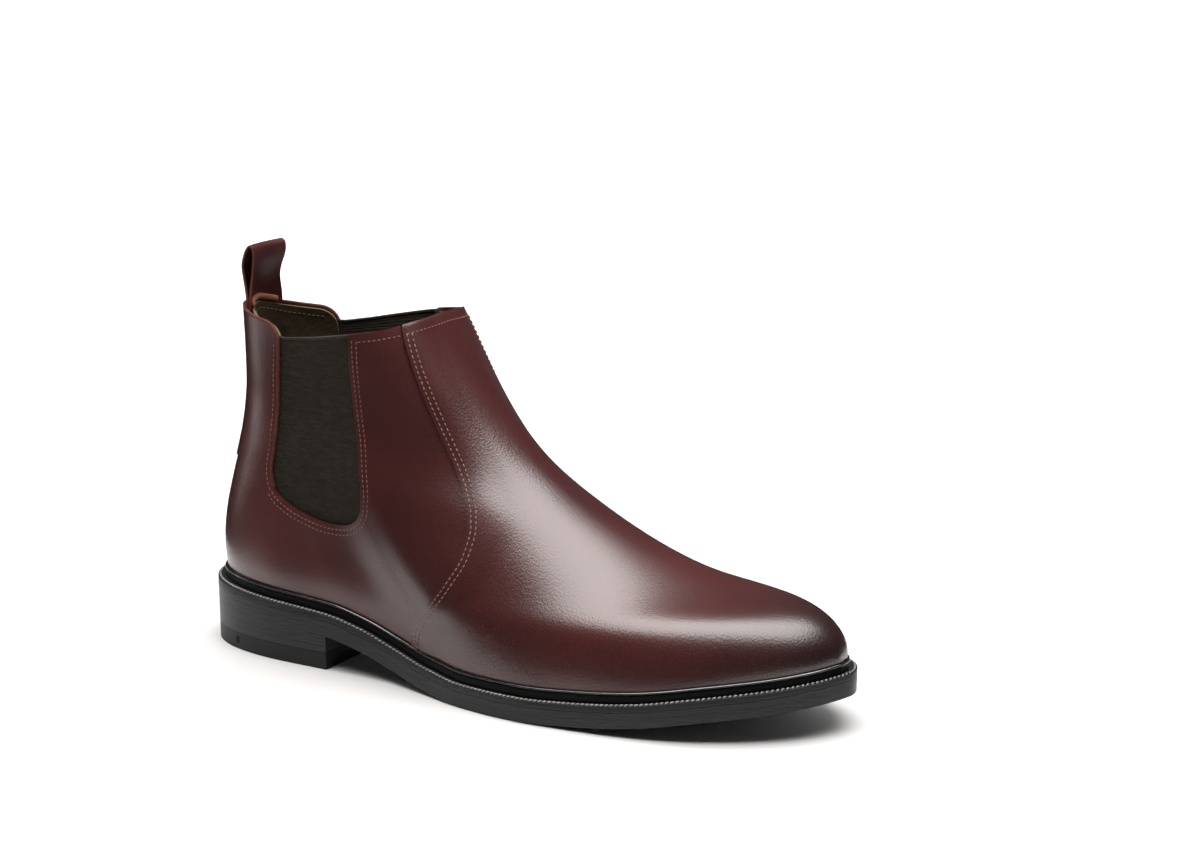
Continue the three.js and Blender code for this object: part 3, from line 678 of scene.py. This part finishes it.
strip = {
    "half": 6.5,
    "thickness": 0.7,
    "foot": 0.425,        # both as a share of the last's height
    "footRound": 0.03,
}
t, turn = np.meshgrid(np.linspace(strip["foot"], 1.0, 90), np.linspace(-1, 1, 15), indexing="ij")
perRadian = np.linalg.norm(lastPoint(t, 0.02) - lastPoint(t, 0.0), axis=-1) / 0.02
fromFoot = (t - strip["foot"]) / strip["footRound"]
narrowed = np.sqrt(np.clip(1 - np.clip(1 - fromFoot, 0, 1) ** 2, 0.04, 1))
turn = turn * strip["half"] * narrowed / perRadian
stripDepth = -strip["thickness"] * (0.1 + 0.9 * ease(fromFoot))
backStrip = keep(
    "back_strip_leather", gridMesh(onLast(t, turn, stripDepth), lastNormal(t, turn)), leather)
thicken(backStrip, strip["thickness"])
soften(backStrip, 0.3)
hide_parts("back_strip")


# Elastic side panels.
gore = {
    "depth": 1.62,
    "thickness": 0.9,
    "margin": 4.5,
    "foot": 58,                # height of its lower edge
    "frontTop": 0.4,           # its top edge below the topline, at the front and at the rear
    "rearTop": 5.2,
    "ribPitch": 1.15,
    "ribHeight": 0.16,
    "foldHeight": 0.006,       # share of the last's height
    "foldOut": 0.35,           # the folded top edge stands out of the panel
    "foldExtra": 0.7,
    "marginShare": 0.09,       # of its width, hidden under the leather at each side
}
footT = locate(np.array([84.0]), np.array([float(gore["foot"])]))[0][0]
ribCount = int((1 - footT) * upper["wallLength"] / gore["ribPitch"])
rows = np.linspace(footT, 1, ribCount * 5 + 1)
rear = angleOfLine(rows, lambda z: rearAt(z) + gore["margin"])
fore = angleOfLine(rows, lambda z: frontEdgeAt(z) - gore["margin"])
rowShare, share = np.meshgrid(np.linspace(0, 1, len(rows)), np.linspace(0, 1, 44), indexing="ij")


def goreTop(share):
    hidden = gore["marginShare"]
    inWindow = np.clip((share - hidden) / (1 - 2 * hidden), 0, 1)
    below = gore["frontTop"] + (gore["rearTop"] - gore["frontTop"]) * (1 - inWindow) ** 1.6
    return 1 - below / upper["wallLength"]


t = footT + (goreTop(share) - footT) * rowShare
angle = rear[:, None] + (fore - rear)[:, None] * share
ribs = np.cos(rowShare * ribCount * 2 * math.pi)
relief = gore["depth"] - gore["ribHeight"] * (0.5 + 0.5 * ribs)
for side in ("lateral", "medial"):
    turn = angle if side == "lateral" else 2 * math.pi - angle
    panel = keep(
        f"gore_{side}_elastic",
        gridMesh(onLast(t, turn, relief), lastNormal(t, turn), repeat=(44, 1)), elastic)
    thicken(panel, gore["thickness"])
    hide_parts(f"gore_{side}")
    below, foldShare = np.meshgrid(
        np.linspace(gore["foldHeight"], -0.001, 5), np.linspace(0.05, 0.95, 40), indexing="ij")
    foldT = goreTop(foldShare) - below
    foldTurn = rear[-1] + (fore[-1] - rear[-1]) * foldShare
    foldTurn = foldTurn if side == "lateral" else 2 * math.pi - foldTurn
    binding = keep(
        f"gore_{side}_fold",
        gridMesh(
            onLast(foldT, foldTurn, gore["depth"] - gore["foldOut"]), lastNormal(foldT, foldTurn)),
        elasticFoldHighlight)
    thicken(binding, gore["thickness"] + gore["foldExtra"])
    soften(binding, 0.25)
print("elastic made")


# Linings and the tape between the layers.
lining = {
    "depth": 3.6,
    "thickness": 1.2,
    "toplineDepth": 1.9,
    "strapDepth": 3.75,         # at the back, behind the strap's sewn-in ends
    "strapHalf": 13,
    "strapRun": 7,
    "top": 0.992,
}


def liningDepth(t, turn):
    point = lastPoint(t, turn)
    aside = np.abs(point[..., 0]) - lining["strapHalf"]
    nearBack = (point[..., 1] > 100) * (1 - ease(aside / lining["strapRun"]))
    atTop = lining["toplineDepth"] + (lining["strapDepth"] - lining["toplineDepth"]) * nearBack
    return lining["depth"] + (atTop - lining["depth"]) * ease((t - 0.82) / 0.14)


frontBoundary = smoothValue([
    (0, 82), (58, 82), (63, 74), (67, 62), (71, 58.5), (78, 57.4), (92, 59.6), (111, 62.2),
    (131, 62.6), (152, 61.5)])
rearBoundary = smoothValue([
    (0, 82.4), (58, 82.4), (64, 92), (68, 100), (74, 107), (81, 109), (92, 107.6), (110, 106.5),
    (130, 106), (152, 104.8)])
rows = np.linspace(0, lining["top"], 130)
start = angleOfLine(rows, frontBoundary)
t, share = np.meshgrid(rows, np.linspace(0, 1, 120), indexing="ij")
turn = start[:, None] + (2 * math.pi - 2 * start[:, None]) * share
frontLining = keep(
    "vamp_lining_leather",
    gridMesh(onLast(t, turn, liningDepth(t, turn)), lastNormal(t, turn)), liningLeather)
end = angleOfLine(rows, rearBoundary)
turn = end[:, None] * (2 * share - 1)
t, turn = cornerDrop(t, np.mod(turn, 2 * math.pi))
rearLining = keep(
    "back_lining_leather",
    gridMesh(onLast(t, turn, liningDepth(t, turn)), lastNormal(t, turn)), liningLeather)
for piece, node in ((frontLining, "vamp_lining"), (rearLining, "back_lining")):
    piece.data.materials.append(liningEdge)
    thicken(piece, lining["thickness"], rimSlot=1)
    soften(piece, 0.4, segments=3)
    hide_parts(node)

tapeBand = {"from": 0.91, "to": 0.982, "endY": 51.5, "depth": 1.62, "thickness": 0.2}
rows = np.linspace(tapeBand["from"], tapeBand["to"], 10)
start = angleOfLine(rows, lambda z: tapeBand["endY"] + 0 * z)
t, share = np.meshgrid(rows, np.linspace(0, 1, 90), indexing="ij")
turn = start[:, None] + (2 * math.pi - 2 * start[:, None]) * share
tape = keep(
    "topline_tape_band", gridMesh(onLast(t, turn, tapeBand["depth"]), lastNormal(t, turn)),
    stiffener)
thicken(tape, tapeBand["thickness"])
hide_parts("topline_tape")
print("linings made")


# Pull tab.
tab = {
    "width": 24,
    "thickness": 1.1,
    "pivotY": 131.8,
    "pivotZ": 153.2,
    "pinch": 0.14,            # share of its width drawn in at mid height
    "pinchHeight": 9,
    "pinchSpan": 6,
    "flatFrom": -4,           # above this the strap leaves the back's curve and turns flat
    "flatRun": 20,
}
# Middle line of the strap round the loop (y, z), from its rear root to its front root.
strapPath = np.array([
    (2.6, -15), (2.6, -11), (2.6, -6), (2.5, -2.5), (2.3, 0.5), (2.4, 4), (2.6, 8), (2.0, 12.3),
    (0.2, 16.8), (-1.3, 20), (-3.1, 21.9), (-4.6, 21.2), (-5.05, 19), (-4.75, 15.8),
    (-3.1, 11.6), (-1.2, 7.4), (0.1, 3.5), (0.9, 0), (1.35, -3), (1.5, -6), (1.5, -11),
    (1.5, -15),
])
path = resample(curvePoints(strapPath, np.linspace(0, 1, 400)), 150)
across = np.linspace(-tab["width"] / 2, tab["width"] / 2, 21)
backDrawn = backAt(np.linspace(0, 1, 200))
backTopY = backDrawn[-1, 0]
backTurns = np.linspace(0, 0.7, 60)
backRing = lastPoint(1.0, backTurns)
strapPoints = np.zeros((len(path), len(across), 3))
for column, x in enumerate(across):
    height = path[:, 1] + tab["pivotZ"]
    lean = np.interp(height, backDrawn[:, 1], backDrawn[:, 0]) - backTopY
    hollow = np.interp(abs(x), -backRing[:, 0], backRing[:, 1]) - backTopY
    sag = np.interp(abs(x), -backRing[:, 0], backRing[:, 2]) - backRing[0, 2]
    flat = ease((path[:, 1] - tab["flatFrom"]) / tab["flatRun"])
    fromPinch = (path[:, 1] - tab["pinchHeight"]) / tab["pinchSpan"]
    strapPoints[:, column, 0] = x * (1 - tab["pinch"] * np.exp(-fromPinch**2))
    strapPoints[:, column, 1] = path[:, 0] + tab["pivotY"] + lean + hollow * (1 - 0.8 * flat)
    strapPoints[:, column, 2] = height + sag * (1 - flat)
tangent = np.gradient(path, axis=0)
facing = np.zeros_like(strapPoints)
facing[:, :, 1] = tangent[:, None, 1]
facing[:, :, 2] = -tangent[:, None, 0]
strapMesh = gridMesh(strapPoints, facing)
strap = keep("pull_tab_strap", strapMesh, strapLeather, body=None)
strap.data.materials.append(rawEdge)
thicken(strap, tab["thickness"], rimSlot=1)
strap.modifiers["Thickness"].offset = 0
soften(strap, 0.2)
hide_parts("pull_tab", "pull_tab_anchor")
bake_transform(strap)
rootEdge = {"halfTurn": 0.47, "depth": 4.2, "rise": 1.1, "across": 1.4, "out": 0.9}
rootTurns = np.linspace(-rootEdge["halfTurn"], rootEdge["halfTurn"], 60)
line = onLast(1.0, rootTurns, rootEdge["depth"])
line[:, 2] += rootEdge["rise"]
root = keep(
    "pull_tab_root_edge",
    sweep(line, lastNormal(1.0, rootTurns), rootEdge["across"], rootEdge["out"], sides=10), suede)
print("pull tab made")


# Raw edge beside the elastic.
rawBead = {"depth": 0.7, "across": 0.6, "out": 0.9, "endAngle": 0.24}
topAngles = np.linspace(windowAngle[0], rawBead["endAngle"], 60)[1:]
edgeT = np.concatenate([windowT[:lowRear][::-1], np.ones(len(topAngles))])
edgeAngle = np.concatenate([windowAngle[:lowRear][::-1], topAngles])
for side in ("lateral", "medial"):
    turn = edgeAngle if side == "lateral" else 2 * math.pi - edgeAngle
    t, turn = cornerDrop(edgeT, turn)
    both = resample(
        np.hstack([onLast(t, turn, rawBead["depth"]), lastNormal(t, turn) * 0.01]), 170)
    normal = both[:, 3:] / np.linalg.norm(both[:, 3:], axis=1)[:, None]
    bead = keep(
        f"gore_{side}_raw_edge",
        sweep(both[:, :3], normal, rawBead["across"], rawBead["out"], sides=12), rawEdge)


# Stitching.
seamThread = {"pitch": 2.3, "length": 1.7, "width": 0.6, "height": 0.5, "lift": 0.04}
goreThread = {"pitch": 2.1, "length": 1.5, "width": 0.52, "height": 0.42, "lift": 0.04}
stitchAway = {
    "seam": (1.7, 3.9),             # distances of the rows from the edge they follow
    "gore": (1.9, 4.1),
    "goreRear": 2.4,
    "topline": 2.4,
    "lining": 3.2,
}


# Line moved over a surface: away is positive to the left of the line, seen from outside.
def moved(line, outward, away):
    tangents = np.gradient(line, axis=0)
    tangents /= np.linalg.norm(tangents, axis=1)[:, None]
    return line + np.cross(outward, tangents) * away


seamRows = np.linspace(0.032, 0.985, 150)
seamAngles = angleOfLine(seamRows, seamAt)
for side, sign in (("lateral", 1), ("medial", -1)):
    turn = seamAngles if side == "lateral" else 2 * math.pi - seamAngles
    normal = lastNormal(seamRows, turn)
    line = lastPoint(seamRows, turn) + normal * (upper["vampLift"] * footTaper(seamRows))[:, None]
    for k, distance in enumerate(stitchAway["seam"]):
        stitchRow(
            f"vamp_stitches_{side}_{k + 1}", moved(line, normal, -sign * distance), normal,
            seamThread, creamThread)
    windowTurn = windowAngle if side == "lateral" else 2 * math.pi - windowAngle
    normal = lastNormal(windowT, windowTurn)
    line = lastPoint(windowT, windowTurn)
    front = slice(lowRear, len(line) - 3)
    for k, distance in enumerate(stitchAway["gore"]):
        stitchRow(
            f"gore_stitches_{side}_{k + 1}", moved(line, normal, -sign * distance)[front],
            normal[front], goreThread, mauveThread)
    rear = slice(12, lowRear)
    stitchRow(
        f"gore_rear_stitches_{side}",
        moved(line, normal, -sign * stitchAway["goreRear"])[rear], normal[rear],
        goreThread, mauveThread)

topTurn = np.linspace(windowAngle[-1] + 0.05, 2 * math.pi - windowAngle[-1] - 0.05, 200)
topT = np.full(200, 1 - stitchAway["topline"] / upper["wallLength"])
onVamp = ease((topTurn - seamAngles[-1]) / 0.03) * ease(
    (2 * math.pi - seamAngles[-1] - topTurn) / 0.03)
normal = lastNormal(topT, topTurn)
perRadian = 34                  # millimetres along the topline
fromSeam = np.minimum(topTurn - seamAngles[-1], 2 * math.pi - seamAngles[-1] - topTurn)
edge = fromSeam * perRadian
rise = upper["vampLift"] * (1 - ease((edge - 3) / upper["liftRun"])) * onVamp
stitchRow(
    "topline_stitches", lastPoint(topT, topTurn) + normal * rise[:, None], normal, goreThread,
    mauveThread)
backTurn = np.linspace(-0.86, 0.86, 120) * windowAngle[0]
backT = np.full(120, lining["top"] - stitchAway["lining"] / upper["wallLength"])
normal = lastNormal(backT, backTurn)
innerDepth = liningDepth(backT, backTurn) + lining["thickness"] + 0.05
stitchRow(
    "lining_stitches", onLast(backT, backTurn, innerDepth), -normal, goreThread, liningEdge)
print("stitching made")


# Rand.
rand = {
    # (height up the wall, distance out of it) round each section
    "band": [
        (-0.3, 0.1), (-0.3, 1.6), (0.4, 1.75), (1.3, 1.5), (2.2, 1.2), (3.0, 0.85), (3.3, 0.5),
        (3.3, 0.1),
    ],
    "bead": [
        (3.25, 0.15), (3.25, 0.9), (3.45, 1.3), (3.8, 1.42), (4.15, 1.25), (4.35, 0.8), (4.4, 0.15),
    ],
}
turns = np.linspace(0, 2 * math.pi, 721)
perHeight = np.linalg.norm(lastPoint(0.02, turns) - lastPoint(0.0, turns), axis=-1) / 0.02
for name, finish in (("band", randBlack), ("bead", randFinish)):
    sections = []
    for height, out in rand[name] + rand[name][:1]:
        ring = onLast(np.maximum(height, 0) / perHeight, turns, -out)
        ring[:, 2] += min(height, 0)
        ring[:, 2] = np.maximum(ring[:, 2], weltTop(ring[:, 1]) + 0.03)
        sections.append(ring)
    piece = keep(f"rand_{name}", gridMesh(np.stack(sections), weld=True), finish)
    if name == "band":
        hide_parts("rand")


# Sole and heel.
sole = {
    "welt": 2.6,
    "weltReach": 16.2,
    "groove": (0.45, 1.65, 0.3),    # start and end in from the edge, depth
    "midsole": 2.72,
    "outsole": 3.9,
    "line": 0.08,                   # fine line between layers
    "heelBreast": 76,
    "topPiece": 7.5,
    "lift": 2.9,
    "edgeRound": 0.2,
    "topPieceRound": 0.35,
}


def slabMesh(inset, bottomAt, topAt, fromY=-1000, toY=1000, along=220, across=14):
    lateralAt, medialAt, front, back = outlineSides(inset)
    start, end = max(fromY, front), min(toY, back)
    turnShare = (1 - np.cos(np.linspace(0, math.pi, along))) / 2
    if fromY > front:
        turnShare = np.sin(np.linspace(0, math.pi / 2, along))
    y = start + (end - start) * turnShare
    share = (1 - np.cos(np.linspace(0, math.pi, across))) / 2
    left, right = lateralAt(y), medialAt(y)
    x = left[:, None] + (right - left)[:, None] * share
    y = np.repeat(y[:, None], across, axis=1)
    top = np.stack([x, y, topAt(y)], axis=-1)
    mesh = gridMesh(top, np.broadcast_to([0, 0, 1.0], top.shape), weld=True)
    lowered = bmesh.ops.extrude_face_region(mesh, geom=mesh.faces[:])["geom"]
    for vert in [item for item in lowered if isinstance(item, bmesh.types.BMVert)]:
        vert.co.z = float(bottomAt(vert.co.y / metre)) * metre
    bmesh.ops.recalc_face_normals(mesh, faces=mesh.faces)
    return mesh


def weltBottom(y):
    return weltTop(y) - sole["welt"]


def midsoleBottom(y):
    return weltBottom(y) - sole["midsole"]


def outsoleBottom(y):
    return midsoleBottom(y) - sole["outsole"] - sole["line"]


grooveStart, grooveEnd, grooveDepth = sole["groove"]
weltSection = [
    (0.12, -sole["welt"]), (0, -sole["welt"] + 0.12), (0, -0.3), (0.1, -0.1), (0.32, 0),
    (grooveStart, 0), (grooveStart + 0.2, -grooveDepth), (grooveEnd - 0.2, -grooveDepth),
    (grooveEnd, 0), (sole["weltReach"], 0), (sole["weltReach"], -sole["welt"]),
]
sections = []
for inset, height in weltSection + weltSection[:1]:
    ring = edgePoints + edgeInward * inset
    ring = np.vstack([ring, ring[:1]])
    sections.append(np.stack([ring[:, 0], ring[:, 1], weltTop(ring[:, 1]) + height], axis=1))
welt = keep("welt_ring", gridMesh(np.stack(sections), weld=True), soleEdgeFinish)
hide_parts("welt")
welt.data.set_sharp_from_angle(angle=math.radians(35))


def level(height):
    return lambda y: height + 0 * y


layerLine, breast = sole["line"], sole["heelBreast"]
heelTop = sole["topPiece"]
liftOne = heelTop + sole["lift"]
liftTwo = liftOne + sole["lift"]
for node, inset, bottomAt, topAt, fromY, finish, slotName in (
    ("midsole", 0.0, midsoleBottom, lambda y: weltBottom(y) - layerLine, -1000,
     soleEdgeFinish, "sole_edge"),
    ("outsole", 0.1, outsoleBottom, lambda y: midsoleBottom(y) - layerLine, -1000,
     soleEdgeFinish, "outsole_rubber"),
    ("heel_wedge", 0.16, level(liftTwo), lambda y: outsoleBottom(y) - layerLine, breast,
     soleEdgeFinish, "sole_edge"),
    ("heel_lift_2", 0.2, level(liftOne), level(liftTwo - layerLine), breast,
     soleEdgeFinish, "sole_edge"),
    ("heel_lift_1", 0.24, level(heelTop), level(liftOne - layerLine), breast,
     soleEdgeFinish, "sole_edge"),
    ("heel_top_piece", 0.3, level(0), level(heelTop - 2.5 * layerLine), breast,
     rubber, "outsole_rubber"),
):
    piece = keep(f"{node}_layer", slabMesh(inset, bottomAt, topAt, fromY), finish)
    rounded = sole["topPieceRound" if node == "heel_top_piece" else "edgeRound"]
    soften(piece, rounded, angle=50)
    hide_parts(node)

# Notch in the heel's top piece, drawn as a black block: its black is painted shade in the cut.
notch = {"y": 127, "bottom": 2.6, "top": 5.6, "width": 0.9, "depth": 0.9}
lateralAt, _, _, _ = outlineSides(0.3)
notchShadeMesh = bmesh.new()
place = toMetres((lateralAt(notch["y"]), notch["y"], (notch["bottom"] + notch["top"]) / 2))
bmesh.ops.create_cube(notchShadeMesh, size=1, matrix=Matrix.Translation(place) @ Matrix.Diagonal((
    notch["depth"] * metre, notch["width"] * metre, (notch["top"] - notch["bottom"]) * metre, 1)))
notchShade = keep("heel_notch_shade", notchShadeMesh, randBlack, smooth=False)

ring = edgePoints + edgeInward * (grooveStart + grooveEnd) / 2
ring = np.vstack([ring, ring[:1]])
threadLine = np.stack([ring[:, 0], ring[:, 1], weltTop(ring[:, 1])], axis=1)
soleThread = {
    "pitch": 2.1, "length": 1.9, "width": 0.75, "height": 1.1, "lift": 0.22, "lean": 32}
stitches = stitchRow(
    "welt_stitches", threadLine, np.broadcast_to([0, 0, 1.0], threadLine.shape), soleThread,
    weltThread)
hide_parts("welt_thread")
print("sole made")


# Footbed.
footbed = {
    "inset": 11.6,
    "insole": 2.5,
    "sock": 1.0,
    "pad": 2.0,
    "padInset": 2,      # more than the sock's
    "padFront": 66,
    "gap": 0.3,
}


def sockBottom(y):
    return weltTop(y) + footbed["insole"] + 2 * footbed["gap"]


def sockTop(y):
    return sockBottom(y) + footbed["sock"]


sock = keep("sock_liner_leather", slabMesh(footbed["inset"], sockBottom, sockTop), liningLeather)
soften(sock, 0.3, angle=50)
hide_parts("sock_liner")
pad = keep(
    "heel_pad_leather",
    slabMesh(
        footbed["inset"] + footbed["padInset"], lambda y: sockTop(y) + footbed["gap"],
        lambda y: sockTop(y) + footbed["gap"] + footbed["pad"], footbed["padFront"]),
    liningLeather)
soften(pad, 0.8, segments=4, angle=50)
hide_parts("heel_pad")
print("footbed made")


# Floor, backdrop, lights and camera.
studio = {
    "worldBrightness": 0.05,
    "backdropBrightness": 1.0,
    "backdropAway": 1.35,
    "overheadPower": 36,
    "rearPower": 0.085,
    "lampColour": (1, 0.975, 0.955),
    "floorGlow": 0.6,                # lifts the far floor to white
    "glowFrom": 0.35,                # distances from the boot
    "glowTo": 1.1,
    "cardX": (-4, -0.098, 0.25, 4),  # the two middle values are the sides of the hole
    "cardY": (-4, -0.24, 0.27, 4),
    "cardHeight": 0.0008,
    "cameraPlace": (-0.99617, -0.59342, 0.37677),
    "cameraDown": 13.14,
    "cameraTurn": -60.75,
    "lens": 87.07,
}
floorMesh = bmesh.new()
bmesh.ops.create_grid(floorMesh, x_segments=2, y_segments=2, size=6)
floorFinish = grained(
    "floorFinish", (0.68, 0.68, 0.68), (0.7, 0.7, 0.7), 0.7, patch=3, grain=40, relief=0.00001,
    specular=0.2)
nodes, links = floorFinish.node_tree.nodes, floorFinish.node_tree.links
place = nodes.new("ShaderNodeTexCoord")
away = nodes.new("ShaderNodeVectorMath")
away.operation = "LENGTH"
links.new(place.outputs["Object"], away.inputs[0])
glow = nodes.new("ShaderNodeMapRange")
glow.inputs["From Min"].default_value = studio["glowFrom"]
glow.inputs["From Max"].default_value = studio["glowTo"]
glow.inputs["To Max"].default_value = studio["floorGlow"]
links.new(away.outputs["Value"], glow.inputs["Value"])
links.new(glow.outputs["Result"], nodes["Principled BSDF"].inputs["Emission Strength"])
nodes["Principled BSDF"].inputs["Emission Color"].default_value = (1, 1, 1, 1)
floor = keep("floor", floorMesh, floorFinish, body=None, smooth=False)

facing = Matrix.Rotation(math.radians(studio["cameraTurn"]), 4, "Z")
backdropMesh = bmesh.new()
bmesh.ops.create_grid(
    backdropMesh, x_segments=2, y_segments=2, size=4,
    matrix=facing @ Matrix.Translation((0, studio["backdropAway"], 2))
    @ Matrix.Rotation(math.radians(90), 4, "X"))
backdropFinish = bpy.data.materials.new("backdropFinish")
backdropFinish.use_nodes = True
shader = backdropFinish.node_tree.nodes["Principled BSDF"]
shader.inputs["Emission Color"].default_value = (1, 1, 1, 1)
shader.inputs["Emission Strength"].default_value = studio["backdropBrightness"]
backdrop = keep("backdrop", backdropMesh, backdropFinish, body=None, smooth=False)
backdrop.visible_glossy = False

# Dark card with a hole round the boot, which only reflections see: it keeps the pale floor's shine
# to the foot of the boot.
cardMesh = bmesh.new()
bmesh.ops.create_grid(cardMesh, x_segments=3, y_segments=3, size=1)
for vert in cardMesh.verts:
    x, y = round(vert.co.x * 3), round(vert.co.y * 3)
    vert.co.x = studio["cardX"][(x + 3) // 2]
    vert.co.y = studio["cardY"][(y + 3) // 2]
hole = [face for face in cardMesh.faces if face.calc_center_median().length < 0.1]
bmesh.ops.delete(cardMesh, geom=hole, context="FACES_ONLY")
bmesh.ops.translate(cardMesh, verts=cardMesh.verts, vec=(0, 0, studio["cardHeight"]))
cardFinish = grained(
    "cardFinish", (0.002, 0.002, 0.002), (0.003, 0.003, 0.003), 0.9, relief=0.00001, specular=0)
card = keep("reflection_card", cardMesh, cardFinish, body=None, smooth=False)
card.visible_camera = False
card.visible_diffuse = False
card.visible_shadow = False
card.visible_transmission = False

world = bpy.data.worlds.new("studio")
world.use_nodes = True
sky = world.node_tree.nodes["Background"]
sky.inputs["Color"].default_value = (1, 1, 1, 1)
sky.inputs["Strength"].default_value = studio["worldBrightness"]
bpy.context.scene.world = world


def softbox(name, place, target, width, height, power):
    lamp = bpy.data.lights.new(name, "AREA")
    lamp.shape = "RECTANGLE"
    lamp.size, lamp.size_y = width, height
    lamp.energy = power
    lamp.color = studio["lampColour"]
    holder = bpy.data.objects.new(name, lamp)
    bpy.context.collection.objects.link(holder)
    holder.location = place
    holder.rotation_euler = (Vector(target) - Vector(place)).to_track_quat("-Z", "Y").to_euler()


softbox("overhead", (0.02, -0.09, 1.25), (0.24, 0.03, 0.05), 1.6, 1.1, studio["overheadPower"])
softbox("rearStrip", (-0.07, 0.534, 0.12), (-0.03, 0.13, 0.1), 0.045, 0.18, studio["rearPower"])

camera = bpy.data.cameras.new("camera")
camera.lens = studio["lens"]
camera.sensor_width = 36
cameraHolder = bpy.data.objects.new("camera", camera)
bpy.context.collection.objects.link(cameraHolder)
cameraHolder.location = studio["cameraPlace"]
cameraHolder.rotation_euler = (
    math.radians(90 - studio["cameraDown"]), 0, math.radians(studio["cameraTurn"]))
bpy.context.scene.camera = cameraHolder
bpy.context.scene.view_settings.view_transform = "Standard"
print("studio made")

bpy.context.view_layer.update()
